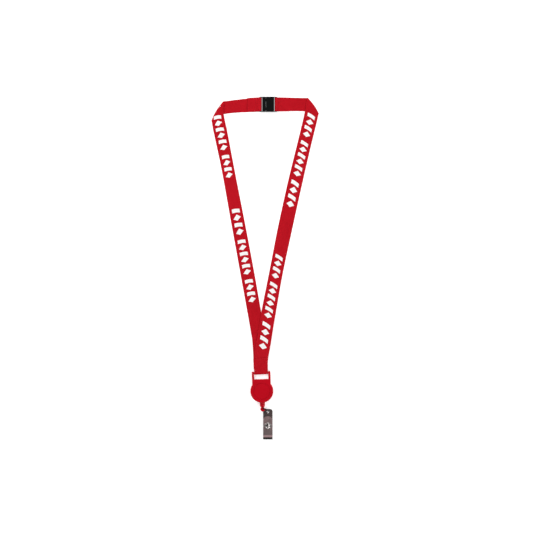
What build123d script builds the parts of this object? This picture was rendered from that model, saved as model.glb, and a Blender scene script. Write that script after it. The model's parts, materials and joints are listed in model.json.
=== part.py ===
from build123d import *
import os
from math import acos, cos, radians, sin, tan

# A neck lanyard laid out flat: printed webbing, a breakaway buckle at the nape, and a badge reel
# with a cord end, a link ring and a snap strap. All sizes are in millimetres.
# The origin is on the table under the middle of the outline. +X is to the right, +Y runs from the
# snap strap to the buckle, and +Z is up from the table.

# Webbing, and the bars that it is looped round
WEB_THICK = 0.8
LAYER_GAP = 0.15
PITCH = WEB_THICK + LAYER_GAP           # from one layer to the next in a stack
BAR_RADIUS = 0.92
LOOP_RADIUS = 1.425                     # middle of the webbing as it passes round a bar
LOOP_HEIGHT = WEB_THICK / 2 + LOOP_RADIUS
LOOP_EXIT = 35                          # degrees past the half turn before the webbing runs straight
FOLD_RADIUS = WEB_THICK + LAYER_GAP / 2
LEFT_LEG_Z = PITCH
RIGHT_TOP_Z = PITCH
RIGHT_LEG_Z = 2 * PITCH

# Breakaway buckle
BUCKLE_Y = 229.2
BUCKLE_WIDTH = 21.0
BUCKLE_THICK = 4.6
BUCKLE_SLOT = 19.9
CHEEK_WIDTH = 20.8
SHOULDER_LENGTH = 2.2
PLUG_BAR_X = -6.7
SOCKET_BAR_X = 14.7
PLUG_BACK_X = -4.3
SPLIT_X = 0.9
SPLIT_GAP = 0.15
SOCKET_BACK_X = 12.3
CHEEK_PAST_BAR = 1.5
PRONG_LENGTH = 7.2
PRONG_WIDTH = 4.2
PRONG_THICK = 1.8
PRONG_SPACING = 12.0
PRONG_CLEARANCE = 0.15
PRONG_CORNER = 0.4
PRONG_TIP = 0.35                        # chamfer on the prongs' tips
PLUG_EDGE = 0.4
LOOPED_WIDTH = 19.6                     # the webbing is squeezed a little in the buckle's slots
TAIL_LENGTH = 18.4                      # sewn tail, measured from the bar
STITCH_ROWS = (3.9, 7.2)                # distance of each stitch row from the bar
STITCH_LENGTH = 1.5
STITCH_PITCH = 2.2
STITCH_WIDTH = 0.45
STITCH_HEIGHT = 0.2

# Plan outline of the two webbing lengths
LEFT_FOLD_TOP = (-57.45, 233.65)
LEFT_FOLD_END = (-74.25, 205.65)
RIGHT_FOLD_TOP = (58.2, 237.5)
RIGHT_FOLD_END = (74.3, 215.7)
LEFT_CORNER = (-58.0, 216.4)            # where the lower edge of the top section meets the leg
LEFT_LEG_INNER = (-53.7, 193.5)
LEFT_KINK = (-18.8, -97.0)
LEFT_KINK_INNER_X = 0.9
RIGHT_CORNER = (54.7, 219.8)
RIGHT_OUTER_EDGE = ((72.1, 204.7), (38.6, 59.1), (3.6, -127.1))
RIGHT_INNER_EDGE = ((-15.8, -121.0), (18.0, 59.1))
RIGHT_END_X = (2.8, -16.0)
LEG_END_Y = -141.0
TOP_REACH = 40.0                        # more than the top sections spread across the buckle's line

# Badge reel, which lies turned a little about its centre
REEL_CENTRE = (-4.9, -171.5)
REEL_TURN = 2.4
CASE_RADIUS = 16.0
CASE_THICK = 10.5
CASE_WALL = 1.3
CASE_FLOOR = 1.2
SPLIT_Z = CASE_THICK / 2
CEILING = CASE_THICK - 1.5              # underside of the front wall
RECESS_FLOOR = CASE_THICK - 0.7
FRAME_WIDTH = 26.0
FRAME_SLOT = 19.8
FRAME_TOP = 27.2
SHOULDER = 16.6
FRAME_BAR_Y = 24.8
RECESS_RADIUS = 11.4
LOOP_WIDTH = 19.5
LOOP_FRONT_END = 45.8
LOOP_REAR_END = 74.5
RIM_EDGE = 1.1
LIP_THICK = 0.6                         # locating lip of the front shell, inside the rear shell's wall
LIP_DROP = 0.8
LIP_CLEARANCE = 0.05
BOSS_WIDTH = 0.9                        # low boss round the pin's foot
BOSS_HEIGHT = 0.2
DISC_GAP = 0.12
DISC_THICK = 0.45
DISC_EDGE = 0.25

# Inside the reel
PIN_RADIUS = 1.5
SPOOL_BORE = 1.58
FLANGE_RADIUS = 13.8
DRUM_RADIUS = 8.0
COIL_RADIUS = 10.0
CORD_RADIUS = 0.4
SPRING_THICK = 0.22
SPRING_TURNS = 7
PIN_FOOT = 0.5
FLANGE_THICK = 0.7
SPOOL_BASE = 1.5
SPOOL_TOP = CEILING - 0.3
DRUM_WALL = 0.9
SPRING_BASE = SPOOL_BASE + 0.8
SPRING_WIDTH = 4.0

# Cord end, link ring and snap strap
NOZZLE_END = -18.2
NOZZLE_ROOT_RADIUS = 3.95
NOZZLE_END_RADIUS = 3.5
EXIT_RADIUS = 1.85
EXIT_TOP = -13.0
BUSH_RADIUS = 1.8
BUSH_BORE = 0.7
BUSH_TOP = -14.4
LEAD_END_Y = -13.9
FITTING_START = -18.4
COLLAR_RADIUS = 3.6
COLLAR_MIDDLE = (-20.3, 3.55)
WAIST_Y = -22.1
WAIST_RADIUS = 2.8
NECK_RADIUS = 1.6
NECK_LENGTH = 1.3
RUN_TOP = -14.15                        # where the straight stretch of cord begins, inside the bush
KNOT_Y = -21.65
KNOT_RADIUS = 0.9
BALL_Y = -25.6
BALL_RADIUS = 3.15
BALL_HALF_THICK = 1.5
EYE_RADIUS = 1.15
EYE_FLARE = 2.3                         # the eye opens out to this radius above and below the ball
WIRE_RADIUS = 0.6
RING_LEAN = -40                         # degrees that the ring leans from upright
STRAP_X = 3.5
STRAP_WIDTH = 13.2
STRAP_THICK = 0.6
STRAP_GAP = 1.8
STRAP_SLOPE = 4.05
STRAP_HOLE_Y = -200.9
STRAP_TOP = 4.2
STRAP_CORNER = 3.2
FLAP_CORNER = 6.2
FOLD_Y = -37.0
FLAP_TOP = -5.6
SNAP_Y = -19.1
RING_HOLE = 1.7
SNAP_HOLE = 1.25
SNAP_STEM = 1.2
POST_RADIUS = 4.0
STUD_RADIUS = 3.6
STUD_HEAD = 1.7
SOCKET_RADIUS = 4.0
SOCKET_MOUTH = 1.95
CAP_RADIUS = 4.75

FOLD_OUTER = STRAP_THICK + STRAP_GAP / 2
HOLE_Z = (
    FOLD_OUTER - (STRAP_THICK + STRAP_GAP) / 2 * cos(radians(STRAP_SLOPE))
    - FOLD_Y * sin(radians(STRAP_SLOPE)) + 0.02
)

REEL = Plane(
    origin=(*REEL_CENTRE, 0),
    x_dir=(cos(radians(REEL_TURN)), sin(radians(REEL_TURN)), 0),
    z_dir=(0, 0, 1),
)
STRAP = Plane(
    origin=(STRAP_X, STRAP_HOLE_Y, HOLE_Z),
    x_dir=(1, 0, 0),
    z_dir=(0, -sin(radians(STRAP_SLOPE)), cos(radians(STRAP_SLOPE))),
)


def save(part, label):
    """Label a finished piece and write it as its own STEP file."""
    part.label = label
    export_step(part, f"parts/{label}.step")


def reel_side(height=0.0):
    """A plane through the reel's axis of pull: its x is along the reel, its y is up."""
    return Plane(
        origin=REEL.from_local_coords((0, 0, height)),
        x_dir=REEL.y_dir,
        z_dir=REEL.x_dir,
    )


def along_cord(distance):
    """A plane across the cord, at a distance along the reel's axis. Its normal points up the cord."""
    return Plane(
        origin=REEL.from_local_coords((0, distance, SPLIT_Z)), x_dir=REEL.x_dir, z_dir=REEL.y_dir
    )


# ---------------------------------------------------------------- webbing


def webbing_layer(outline, bottom):
    """A flat layer of webbing from a closed plan outline."""
    with BuildPart() as layer:
        with BuildSketch(Plane.XY.offset(bottom)):
            add(outline)
        extrude(amount=WEB_THICK)
    return layer.part


def bar_loop(bar_x, side, lower_end, upper_end):
    """Webbing seen from the side as it comes along the table, passes round a bar and goes back.

    side is -1 where the webbing lies to the left of its bar and 1 where it lies to the right.
    """
    exit_angle = radians(LOOP_EXIT)
    upper_z = WEB_THICK / 2 + PITCH
    leave_x = LOOP_RADIUS * sin(exit_angle)
    leave_z = LOOP_HEIGHT + LOOP_RADIUS * cos(exit_angle)
    land_x = leave_x + (leave_z - upper_z) / tan(exit_angle)
    front = -side * LOOP_RADIUS
    with BuildSketch(Plane.XZ) as profile:
        with BuildLine() as middle:
            Line((lower_end, WEB_THICK / 2), (bar_x, WEB_THICK / 2))
            ThreePointArc(
                (bar_x, WEB_THICK / 2),
                (bar_x + front, LOOP_HEIGHT),
                (bar_x + side * leave_x, leave_z),
            )
            Line((bar_x + side * leave_x, leave_z), (bar_x + side * land_x, upper_z))
            Line((bar_x + side * land_x, upper_z), (upper_end, upper_z))
        trace(line_width=WEB_THICK)
    return profile.sketch


def mitre_fold(top, end, bottom):
    """The rolled edge of a mitre fold: a half round from the fold's top point to its end."""
    along = Vector(end[0] - top[0], end[1] - top[1], 0)
    outward = Vector(0, 0, 1).cross(along).normalized()
    if outward.X * top[0] < 0:
        outward = outward * -1
    centre = (top[0], top[1], bottom + FOLD_RADIUS)
    with BuildPart() as fold:
        with BuildSketch(Plane(origin=centre, x_dir=outward, z_dir=along.normalized())):
            Circle(FOLD_RADIUS)
            Rectangle(FOLD_RADIUS, 2 * FOLD_RADIUS, align=(Align.MAX, Align.CENTER), mode=Mode.SUBTRACT)
            Circle(LAYER_GAP / 2, mode=Mode.SUBTRACT)
        extrude(amount=along.length)
    return fold.part


def top_section(profile, outline):
    """The part of a webbing length beside the buckle: its side profile cut to its plan outline."""
    with BuildPart() as section:
        with BuildSketch(Plane.XZ.offset(-BUCKLE_Y)):
            add(profile)
        extrude(amount=TOP_REACH, both=True)
        with BuildSketch():
            add(outline)
        extrude(amount=2 * LOOP_HEIGHT, mode=Mode.INTERSECT)
    return section.part


def make_left_strap():
    """The left length: it lies behind the right one, and its tail is sewn on top."""
    half = LOOPED_WIDTH / 2
    with BuildSketch() as top_outline:
        with BuildLine():
            Polyline(
                LEFT_FOLD_TOP,
                LEFT_FOLD_END,
                LEFT_CORNER,
                (PLUG_BAR_X - TAIL_LENGTH, BUCKLE_Y - half - 0.6),
                (PLUG_BAR_X - 4, BUCKLE_Y - half),
                (PLUG_BAR_X + 4, BUCKLE_Y - half),
                (PLUG_BAR_X + 4, BUCKLE_Y + half),
                (PLUG_BAR_X - 4, BUCKLE_Y + half),
                (PLUG_BAR_X - TAIL_LENGTH, BUCKLE_Y + half - 0.9),
                close=True,
            )
        make_face()
    with BuildSketch() as leg_outline:
        with BuildLine():
            Polyline(
                LEFT_FOLD_TOP,
                LEFT_FOLD_END,
                LEFT_KINK,
                (LEFT_KINK_INNER_X, LEFT_KINK[1]),
                LEFT_LEG_INNER,
                close=True,
            )
        make_face()
    profile = bar_loop(PLUG_BAR_X, -1, LEFT_FOLD_END[0], PLUG_BAR_X - TAIL_LENGTH)
    with BuildPart() as top:
        add(top_section(profile, top_outline.sketch))
        add(mitre_fold(LEFT_FOLD_TOP, LEFT_FOLD_END, 0))
    save(top.part, "strap_left_top")
    leg = webbing_layer(leg_outline.sketch, LEFT_LEG_Z)
    save(leg, "strap_left")
    return top.part, leg


def make_left_end():
    """The last stretch of the left length, sewn flat inside the slot loop."""
    edge = REEL.to_local_coords(Vector(LEFT_KINK[0], LEFT_KINK[1], 0)).X
    foot = LEG_END_Y - REEL_CENTRE[1]
    with BuildSketch() as outline:
        with BuildLine():
            Polyline(
                (LEFT_KINK[0], LEFT_KINK[1] - 0.05),
                REEL.from_local_coords((edge, foot, 0)),
                REEL.from_local_coords((edge + LOOP_WIDTH, foot, 0)),
                (LEFT_KINK_INNER_X, LEFT_KINK[1] - 0.05),
                close=True,
            )
        make_face()
    end = webbing_layer(outline.sketch, LEFT_LEG_Z)
    save(end, "strap_left_end")
    return end


def make_right_strap():
    """The right length: its leg bows to the left, and its tail is sewn underneath."""
    half = LOOPED_WIDTH / 2
    with BuildSketch() as top_outline:
        with BuildLine():
            Polyline(
                RIGHT_FOLD_TOP,
                RIGHT_FOLD_END,
                RIGHT_CORNER,
                (SOCKET_BAR_X - 4, BUCKLE_Y - half),
                (SOCKET_BAR_X - 4, BUCKLE_Y + half),
                (SOCKET_BAR_X + 4, BUCKLE_Y + half),
                close=True,
            )
        make_face()
    with BuildSketch() as leg_outline:
        with BuildLine():
            Line(RIGHT_FOLD_TOP, RIGHT_FOLD_END)
            Line(RIGHT_FOLD_END, RIGHT_OUTER_EDGE[0])
            ThreePointArc(*RIGHT_OUTER_EDGE)
            Polyline(
                RIGHT_OUTER_EDGE[-1],
                (RIGHT_END_X[0], LEG_END_Y),
                (RIGHT_END_X[1], LEG_END_Y),
                RIGHT_INNER_EDGE[0],
            )
            ThreePointArc(*RIGHT_INNER_EDGE, RIGHT_FOLD_TOP)
        make_face()
    profile = bar_loop(SOCKET_BAR_X, 1, SOCKET_BAR_X + TAIL_LENGTH, RIGHT_FOLD_END[0])
    with BuildPart() as top:
        add(top_section(profile, top_outline.sketch))
        add(mitre_fold(RIGHT_FOLD_TOP, RIGHT_FOLD_END, RIGHT_TOP_Z))
    save(top.part, "strap_right_top")
    leg = webbing_layer(leg_outline.sketch, RIGHT_LEG_Z)
    save(leg, "strap_right")
    return top.part, leg


def make_slot_loop():
    """A short length of webbing round the reel's bar, with both straps sewn between its layers."""
    front_z = LOOP_HEIGHT + LOOP_RADIUS
    with BuildPart() as loop:
        with BuildSketch(reel_side()):
            with BuildLine():
                Line((LOOP_REAR_END, WEB_THICK / 2), (FRAME_BAR_Y, WEB_THICK / 2))
                ThreePointArc(
                    (FRAME_BAR_Y, WEB_THICK / 2),
                    (FRAME_BAR_Y - LOOP_RADIUS, LOOP_HEIGHT),
                    (FRAME_BAR_Y, front_z),
                )
                Line((FRAME_BAR_Y, front_z), (LOOP_FRONT_END, front_z))
            trace(line_width=WEB_THICK)
        extrude(amount=LOOP_WIDTH / 2, both=True)
    save(loop.part, "slot_loop")
    return loop.part


def stitch_rows(label, plane, rows, width):
    """Rows of short raised stitches across the webbing. rows are distances along the plane's x."""
    count = int((width - 2) / STITCH_PITCH)
    with BuildPart() as stitches:
        for row in rows:
            with BuildSketch(plane):
                with Locations((row, 0)):
                    with GridLocations(0, STITCH_PITCH, 1, count):
                        SlotOverall(STITCH_LENGTH, STITCH_WIDTH, rotation=90)
            extrude(amount=STITCH_HEIGHT)
    save(stitches.part, label)
    return stitches.part


def make_stitching():
    """The thread that holds both tails and the join."""
    upper = WEB_THICK + PITCH
    left = Plane(origin=(PLUG_BAR_X, BUCKLE_Y, upper), x_dir=(-1, 0, 0), z_dir=(0, 0, 1))
    right = Plane(origin=(SOCKET_BAR_X, BUCKLE_Y, upper), x_dir=(1, 0, 0), z_dir=(0, 0, 1))
    join = Plane(
        origin=REEL.from_local_coords((0, 0, LOOP_HEIGHT + LOOP_RADIUS + WEB_THICK / 2)),
        x_dir=REEL.y_dir,
        z_dir=(0, 0, 1),
    )
    return (
        stitch_rows("left_end_stitching", left, STITCH_ROWS, LOOPED_WIDTH),
        stitch_rows("right_end_stitching", right, STITCH_ROWS, LOOPED_WIDTH),
        stitch_rows("join_stitching", join, (LOOP_FRONT_END - 2.2, LOOP_FRONT_END - 6.0), LOOP_WIDTH),
    )


# ---------------------------------------------------------------- breakaway buckle


def buckle_half(body_from, body_to, bar_x):
    """A block that tapers to two cheeks with a round bar between them, not yet saved."""
    away = -1 if bar_x < body_from else 1
    front = body_to if away < 0 else body_from
    back = body_from if away < 0 else body_to
    cheek_end = bar_x + away * CHEEK_PAST_BAR
    with BuildPart() as half:
        with BuildSketch(Plane((0, BUCKLE_Y, 0))):
            with BuildLine():
                Polyline(
                    (front, 0),
                    (front, BUCKLE_WIDTH / 2),
                    (back - away * SHOULDER_LENGTH, BUCKLE_WIDTH / 2),
                    (back, CHEEK_WIDTH / 2),
                    (cheek_end, CHEEK_WIDTH / 2),
                    (cheek_end, 0),
                )
                mirror(about=Plane.XZ)
            make_face()
            with Locations(((back + cheek_end) / 2, 0)):
                Rectangle(abs(cheek_end - back), BUCKLE_SLOT, mode=Mode.SUBTRACT)
        extrude(amount=BUCKLE_THICK)
        with BuildSketch(Plane.XZ.offset(-BUCKLE_Y)):
            with Locations((bar_x, LOOP_HEIGHT)):
                Circle(BAR_RADIUS)
        extrude(amount=BUCKLE_SLOT / 2 + 0.3, both=True)
    return half.part


def prong_sketch(clearance):
    """The section of the plug's two prongs, on a plane across the buckle."""
    with BuildSketch() as prongs:
        with GridLocations(PRONG_SPACING, 0, 2, 1):
            RectangleRounded(
                PRONG_WIDTH + 2 * clearance, PRONG_THICK + 2 * clearance, PRONG_CORNER + clearance
            )
    return prongs.sketch


def make_plug():
    """The half with two prongs, on the left length of webbing."""
    across = Plane(
        origin=(SPLIT_X - SPLIT_GAP - 0.5, BUCKLE_Y, BUCKLE_THICK / 2), x_dir=(0, 1, 0), z_dir=(1, 0, 0)
    )
    with BuildPart() as plug:
        add(buckle_half(PLUG_BACK_X, SPLIT_X - SPLIT_GAP, PLUG_BAR_X))
        outer = plug.edges().filter_by(Axis.Z).group_by(Axis.X)[-1]
        fillet(outer, PLUG_EDGE)
        with BuildSketch(across):
            add(prong_sketch(0))
        extrude(amount=PRONG_LENGTH + 0.5)
        chamfer(plug.faces().sort_by(Axis.X)[-2:].edges(), PRONG_TIP)
    save(plug.part, "buckle_plug")
    return plug.part


def make_socket():
    """The half that takes the prongs, on the right length of webbing."""
    mouth = Plane(origin=(SPLIT_X, BUCKLE_Y, BUCKLE_THICK / 2), x_dir=(0, 1, 0), z_dir=(1, 0, 0))
    with BuildPart() as socket:
        add(buckle_half(SPLIT_X, SOCKET_BACK_X, SOCKET_BAR_X))
        with BuildSketch(mouth):
            add(prong_sketch(PRONG_CLEARANCE))
        extrude(amount=PRONG_LENGTH + 0.6, mode=Mode.SUBTRACT)
    save(socket.part, "buckle_socket")
    return socket.part


# ---------------------------------------------------------------- badge reel case


def case_outline():
    """The case from the front: a circle with a squared shoulder under the frame."""
    join_y = (CASE_RADIUS**2 - (FRAME_WIDTH / 2) ** 2) ** 0.5
    with BuildSketch() as outline:
        Circle(CASE_RADIUS)
        with Locations((0, (join_y + SHOULDER) / 2)):
            Rectangle(FRAME_WIDTH, SHOULDER - join_y)
    return outline.sketch


def half_nozzle(upper):
    """One half of the tapered nozzle that the cord leaves by."""
    root_y = -CASE_RADIUS + 1.0
    with BuildPart() as nozzle:
        with BuildSketch(reel_side(SPLIT_Z)):
            with BuildLine():
                Polyline(
                    (root_y, 0),
                    (root_y, NOZZLE_ROOT_RADIUS),
                    (NOZZLE_END, NOZZLE_END_RADIUS),
                    (NOZZLE_END, 0),
                    close=True,
                )
            make_face()
        revolve(axis=Axis(reel_side(SPLIT_Z).origin, REEL.y_dir))
        keep = Keep.TOP if upper else Keep.BOTTOM
        split(bisect_by=Plane.XY.offset(SPLIT_Z), keep=keep)
    return nozzle.part


def exit_bore():
    """The bore through the nozzle and the case wall, as a solid to cut away."""
    start = NOZZLE_END - 1
    with BuildPart() as bore:
        with BuildSketch(along_cord(start)):
            Circle(EXIT_RADIUS)
        extrude(amount=EXIT_TOP - start)
    return bore.part


def make_rear_shell():
    """The back of the case with the frame and bar that hang it from the slot loop."""
    cheek = (FRAME_WIDTH - FRAME_SLOT) / 2
    cheek_x = (FRAME_SLOT + cheek) / 2
    with BuildPart() as shell:
        with BuildSketch(REEL):
            add(case_outline())
        extrude(amount=SPLIT_Z)
        with BuildSketch(REEL):
            with Locations((-cheek_x, (SHOULDER + FRAME_TOP) / 2), (cheek_x, (SHOULDER + FRAME_TOP) / 2)):
                Rectangle(cheek, FRAME_TOP - SHOULDER)
        extrude(amount=2 * LOOP_HEIGHT)
        with BuildSketch(reel_side()):
            with Locations((FRAME_BAR_Y, LOOP_HEIGHT)):
                Circle(BAR_RADIUS)
        extrude(amount=FRAME_SLOT / 2 + 0.5, both=True)
        add(half_nozzle(upper=False))
        with BuildSketch(REEL.offset(CASE_FLOOR)):
            Circle(CASE_RADIUS - CASE_WALL)
        extrude(amount=CASE_THICK, mode=Mode.SUBTRACT)
        with BuildSketch(REEL.offset(CASE_FLOOR)):
            Circle(PIN_RADIUS + BOSS_WIDTH)
        extrude(amount=BOSS_HEIGHT)
        with BuildSketch(REEL.offset(PIN_FOOT)):
            Circle(PIN_RADIUS)
        extrude(amount=CASE_THICK, mode=Mode.SUBTRACT)
        add(exit_bore(), mode=Mode.SUBTRACT)
    save(shell.part, "reel_rear_shell")
    return shell.part


def make_front_shell():
    """The front of the case, with a raised rim round a shallow recess."""
    inner_radius = CASE_RADIUS - CASE_WALL
    lip_inside = inner_radius - LIP_THICK
    with BuildPart() as shell:
        with BuildSketch(REEL.offset(SPLIT_Z)):
            add(case_outline())
        extrude(amount=CASE_THICK - SPLIT_Z)
        fillet(shell.faces().sort_by(Axis.Z)[-1].edges(), RIM_EDGE)
        add(half_nozzle(upper=True))
        with BuildSketch(REEL.offset(RECESS_FLOOR)):
            Circle(RECESS_RADIUS)
        extrude(amount=CASE_THICK - RECESS_FLOOR, mode=Mode.SUBTRACT)
        with BuildSketch(REEL.offset(SPLIT_Z)):
            Circle(inner_radius)
        extrude(amount=CEILING - SPLIT_Z, mode=Mode.SUBTRACT)
        with BuildSketch(REEL.offset(SPLIT_Z)):
            Circle(inner_radius + 0.2)
            Circle(lip_inside, mode=Mode.SUBTRACT)
        extrude(amount=LIP_THICK)
        with BuildSketch(REEL.offset(SPLIT_Z - LIP_DROP)):
            Circle(inner_radius - LIP_CLEARANCE)
            Circle(lip_inside, mode=Mode.SUBTRACT)
        extrude(amount=LIP_DROP)
        add(exit_bore(), mode=Mode.SUBTRACT)
    save(shell.part, "reel_front_shell")
    return shell.part


def make_front_disc():
    """The blank inlay in the recess."""
    with BuildPart() as disc:
        with BuildSketch(REEL.offset(RECESS_FLOOR)):
            Circle(RECESS_RADIUS - DISC_GAP)
        extrude(amount=DISC_THICK)
        fillet(disc.faces().sort_by(Axis.Z)[-1].edges(), DISC_EDGE)
    save(disc.part, "front_disc")
    return disc.part


def make_exit_bush():
    """The smooth bush that guides the cord out of the nozzle."""
    start = NOZZLE_END + 0.1
    with BuildPart() as bush:
        with BuildSketch(along_cord(start)):
            Circle(BUSH_RADIUS)
            Circle(BUSH_BORE, mode=Mode.SUBTRACT)
        extrude(amount=BUSH_TOP - start)
    save(bush.part, "exit_bush")
    return bush.part


# ---------------------------------------------------------------- inside the reel


def make_centre_pin():
    """The fixed pin that the spool turns on, slotted for the inner end of the mainspring."""
    with BuildPart() as pin:
        with BuildSketch(REEL.offset(PIN_FOOT)):
            Circle(PIN_RADIUS)
        extrude(amount=CEILING - 0.1 - PIN_FOOT)
        with BuildSketch(REEL.offset(SPRING_BASE - 0.1)):
            with Locations((PIN_RADIUS / 2 + 0.25, 0)):
                Rectangle(PIN_RADIUS + 0.5, SPRING_THICK + 0.1)
        extrude(amount=SPRING_WIDTH + 0.2, mode=Mode.SUBTRACT)
    save(pin.part, "centre_pin")
    return pin.part


def ring_of(bottom, outer, inner, height):
    """A plain ring about the reel's centre."""
    with BuildPart() as ring:
        with BuildSketch(REEL.offset(bottom)):
            Circle(outer)
            Circle(inner, mode=Mode.SUBTRACT)
        extrude(amount=height)
    return ring.part


def make_spool():
    """A flanged drum with a pocket for the mainspring, open towards the back."""
    hub_height = 1.8
    with BuildPart() as spool:
        add(ring_of(SPOOL_BASE, FLANGE_RADIUS, DRUM_RADIUS - DRUM_WALL, FLANGE_THICK))
        add(ring_of(SPOOL_BASE, DRUM_RADIUS, DRUM_RADIUS - DRUM_WALL, SPOOL_TOP - SPOOL_BASE))
        add(ring_of(SPOOL_TOP - FLANGE_THICK, FLANGE_RADIUS, SPOOL_BORE, FLANGE_THICK))
        add(ring_of(SPOOL_TOP - hub_height, SPOOL_BORE + 0.9, SPOOL_BORE, hub_height))
    save(spool.part, "spool")
    return spool.part


def make_mainspring():
    """A flat spiral of spring strip from the pin's slot out to the drum."""
    inner = PIN_RADIUS + 0.45
    outer = DRUM_RADIUS - DRUM_WALL - SPRING_THICK / 2 - 0.05
    halves = 2 * SPRING_TURNS
    growth = (outer - inner) / halves
    with BuildPart() as spring:
        with BuildSketch(REEL.offset(SPRING_BASE)):
            with BuildLine():
                Line((0.3, 0), (inner, 0))
                start_x = inner
                for half in range(halves):
                    side = 1 if half % 2 == 0 else -1
                    radius = inner + (half + 0.5) * growth
                    middle_x = start_x - side * radius
                    end_x = start_x - side * 2 * radius
                    ThreePointArc((start_x, 0), (middle_x, side * radius), (end_x, 0))
                    start_x = end_x
            trace(line_width=SPRING_THICK)
        extrude(amount=SPRING_WIDTH)
    save(spring.part, "mainspring")
    return spring.part


def make_cord_coil():
    """The cord wound on the drum, as one closed ring."""
    bottom = SPOOL_BASE + FLANGE_THICK + 0.1
    top = SPOOL_TOP - FLANGE_THICK - 0.1
    coil = ring_of(bottom, COIL_RADIUS, DRUM_RADIUS, top - bottom)
    save(coil, "cord_coil")
    return coil


def make_cord_lead():
    """The stretch of cord from the winding to the bush."""
    tangent_radius = COIL_RADIUS + CORD_RADIUS + 0.05
    swing = acos(tangent_radius / -LEAD_END_Y)
    start = REEL.from_local_coords((-tangent_radius * sin(swing), -tangent_radius * cos(swing), SPLIT_Z))
    end = REEL.from_local_coords((0, LEAD_END_Y, SPLIT_Z))
    with BuildPart() as lead:
        with BuildSketch(Plane(origin=start, z_dir=(end - start).normalized())):
            Circle(CORD_RADIUS)
        extrude(amount=(end - start).length - 0.3)
    save(lead.part, "cord_lead")
    return lead.part


# ---------------------------------------------------------------- cord end


def make_cord_run():
    """The cord through the bush, down to its knot in the fitting."""
    with BuildPart() as run:
        with BuildSketch(along_cord(KNOT_Y + KNOT_RADIUS)):
            Circle(CORD_RADIUS)
        extrude(amount=RUN_TOP - KNOT_Y - KNOT_RADIUS)
    save(run.part, "cord_run")
    return run.part


def ring_frame():
    """The plane of the link ring, through the fitting's eye and the snap strap's hole."""
    eye = REEL.from_local_coords((0, BALL_Y, SPLIT_Z))
    hole = Vector(STRAP_X, STRAP_HOLE_Y, HOLE_Z)
    along = (hole - eye).normalized()
    level = Vector(0, 0, 1).cross(along).normalized()
    normal = level.rotate(Axis((0, 0, 0), along), RING_LEAN)
    return Plane(origin=(eye + hole) * 0.5, x_dir=along, z_dir=normal), eye, (hole - eye).length / 2


def flared_eye(centre, ring_plane):
    """The eye as a solid to cut away, opening out so that the ring can turn in it."""
    waist = 1.6
    reach = 3.4
    with BuildPart() as eye:
        with BuildSketch(Plane(origin=centre, x_dir=ring_plane.y_dir, z_dir=ring_plane.z_dir)):
            with BuildLine():
                Polyline(
                    (-reach, 0),
                    (-reach, EYE_FLARE),
                    (-waist, EYE_RADIUS),
                    (waist, EYE_RADIUS),
                    (reach, EYE_FLARE),
                    (reach, 0),
                    close=True,
                )
            make_face()
        revolve(axis=Axis(centre, ring_plane.y_dir))
    return eye.part


def make_fitting():
    """The moulded cord end: a tapered collar, and a flattened ball with an eye."""
    ring_plane, eye, _ = ring_frame()
    collar_top = (FITTING_START, COLLAR_RADIUS)
    waist = (WAIST_Y, WAIST_RADIUS)
    neck_y = WAIST_Y - NECK_LENGTH
    with BuildPart() as fitting:
        with BuildSketch(reel_side(SPLIT_Z)):
            with BuildLine():
                Polyline((neck_y, 0), (FITTING_START, 0), collar_top)
                ThreePointArc(collar_top, COLLAR_MIDDLE, waist)
                Polyline(waist, (neck_y, NECK_RADIUS), (neck_y, 0))
            make_face()
        revolve(axis=Axis(reel_side(SPLIT_Z).origin, REEL.y_dir))
        with BuildPart(REEL.offset(SPLIT_Z), mode=Mode.PRIVATE) as ball:
            with Locations((0, BALL_Y, 0)):
                Sphere(BALL_RADIUS)
                Box(10, 10, 2 * BALL_HALF_THICK, mode=Mode.INTERSECT)
        add(ball.part)
        add(flared_eye(eye, ring_plane), mode=Mode.SUBTRACT)
        with BuildSketch(along_cord(KNOT_Y)):
            Circle(CORD_RADIUS + 0.15)
        extrude(amount=8, mode=Mode.SUBTRACT)
        with BuildSketch(along_cord(KNOT_Y)):
            Circle(KNOT_RADIUS + 0.2)
        extrude(amount=KNOT_RADIUS + 0.05, both=True, mode=Mode.SUBTRACT)
    save(fitting.part, "cord_end_fitting")
    return fitting.part


def make_knot():
    """The knot that keeps the cord in the fitting."""
    with BuildPart() as knot:
        with Locations(REEL.from_local_coords((0, KNOT_Y, SPLIT_Z))):
            Sphere(KNOT_RADIUS)
    save(knot.part, "cord_knot")
    return knot.part


def make_link_ring():
    """A wire ring through the eye and the snap strap's hole."""
    plane, _, mean_radius = ring_frame()
    across = Plane(origin=plane.origin + plane.x_dir * mean_radius, x_dir=plane.x_dir, z_dir=plane.y_dir)
    with BuildPart() as ring:
        with BuildSketch(across):
            Circle(WIRE_RADIUS)
        revolve(axis=Axis(plane.origin, plane.z_dir))
    save(ring.part, "link_ring")
    return ring.part


# ---------------------------------------------------------------- snap strap


def strap_sheet(bottom, top_end, corner):
    """One layer of the snap strap, from the fold up to a rounded end."""
    with BuildSketch(STRAP.offset(bottom)) as sheet:
        with Locations((0, (FOLD_Y + top_end) / 2)):
            Rectangle(STRAP_WIDTH, top_end - FOLD_Y)
        ends = sheet.vertices().group_by(Axis.Y)[-1]
        fillet(ends, corner)
    return sheet.sketch


def make_back_strap():
    """The back layer, with the hole for the link ring and the hole for the snap's post."""
    with BuildPart() as layer:
        add(strap_sheet(-STRAP_THICK / 2, STRAP_TOP, STRAP_CORNER))
        extrude(amount=STRAP_THICK, dir=STRAP.z_dir)
        with BuildSketch(STRAP.offset(-STRAP_THICK)):
            Circle(RING_HOLE)
            with Locations((0, SNAP_Y)):
                Circle(SNAP_HOLE)
        extrude(amount=2 * STRAP_THICK, mode=Mode.SUBTRACT)
    save(layer.part, "clip_back_strap")
    return layer.part


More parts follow.
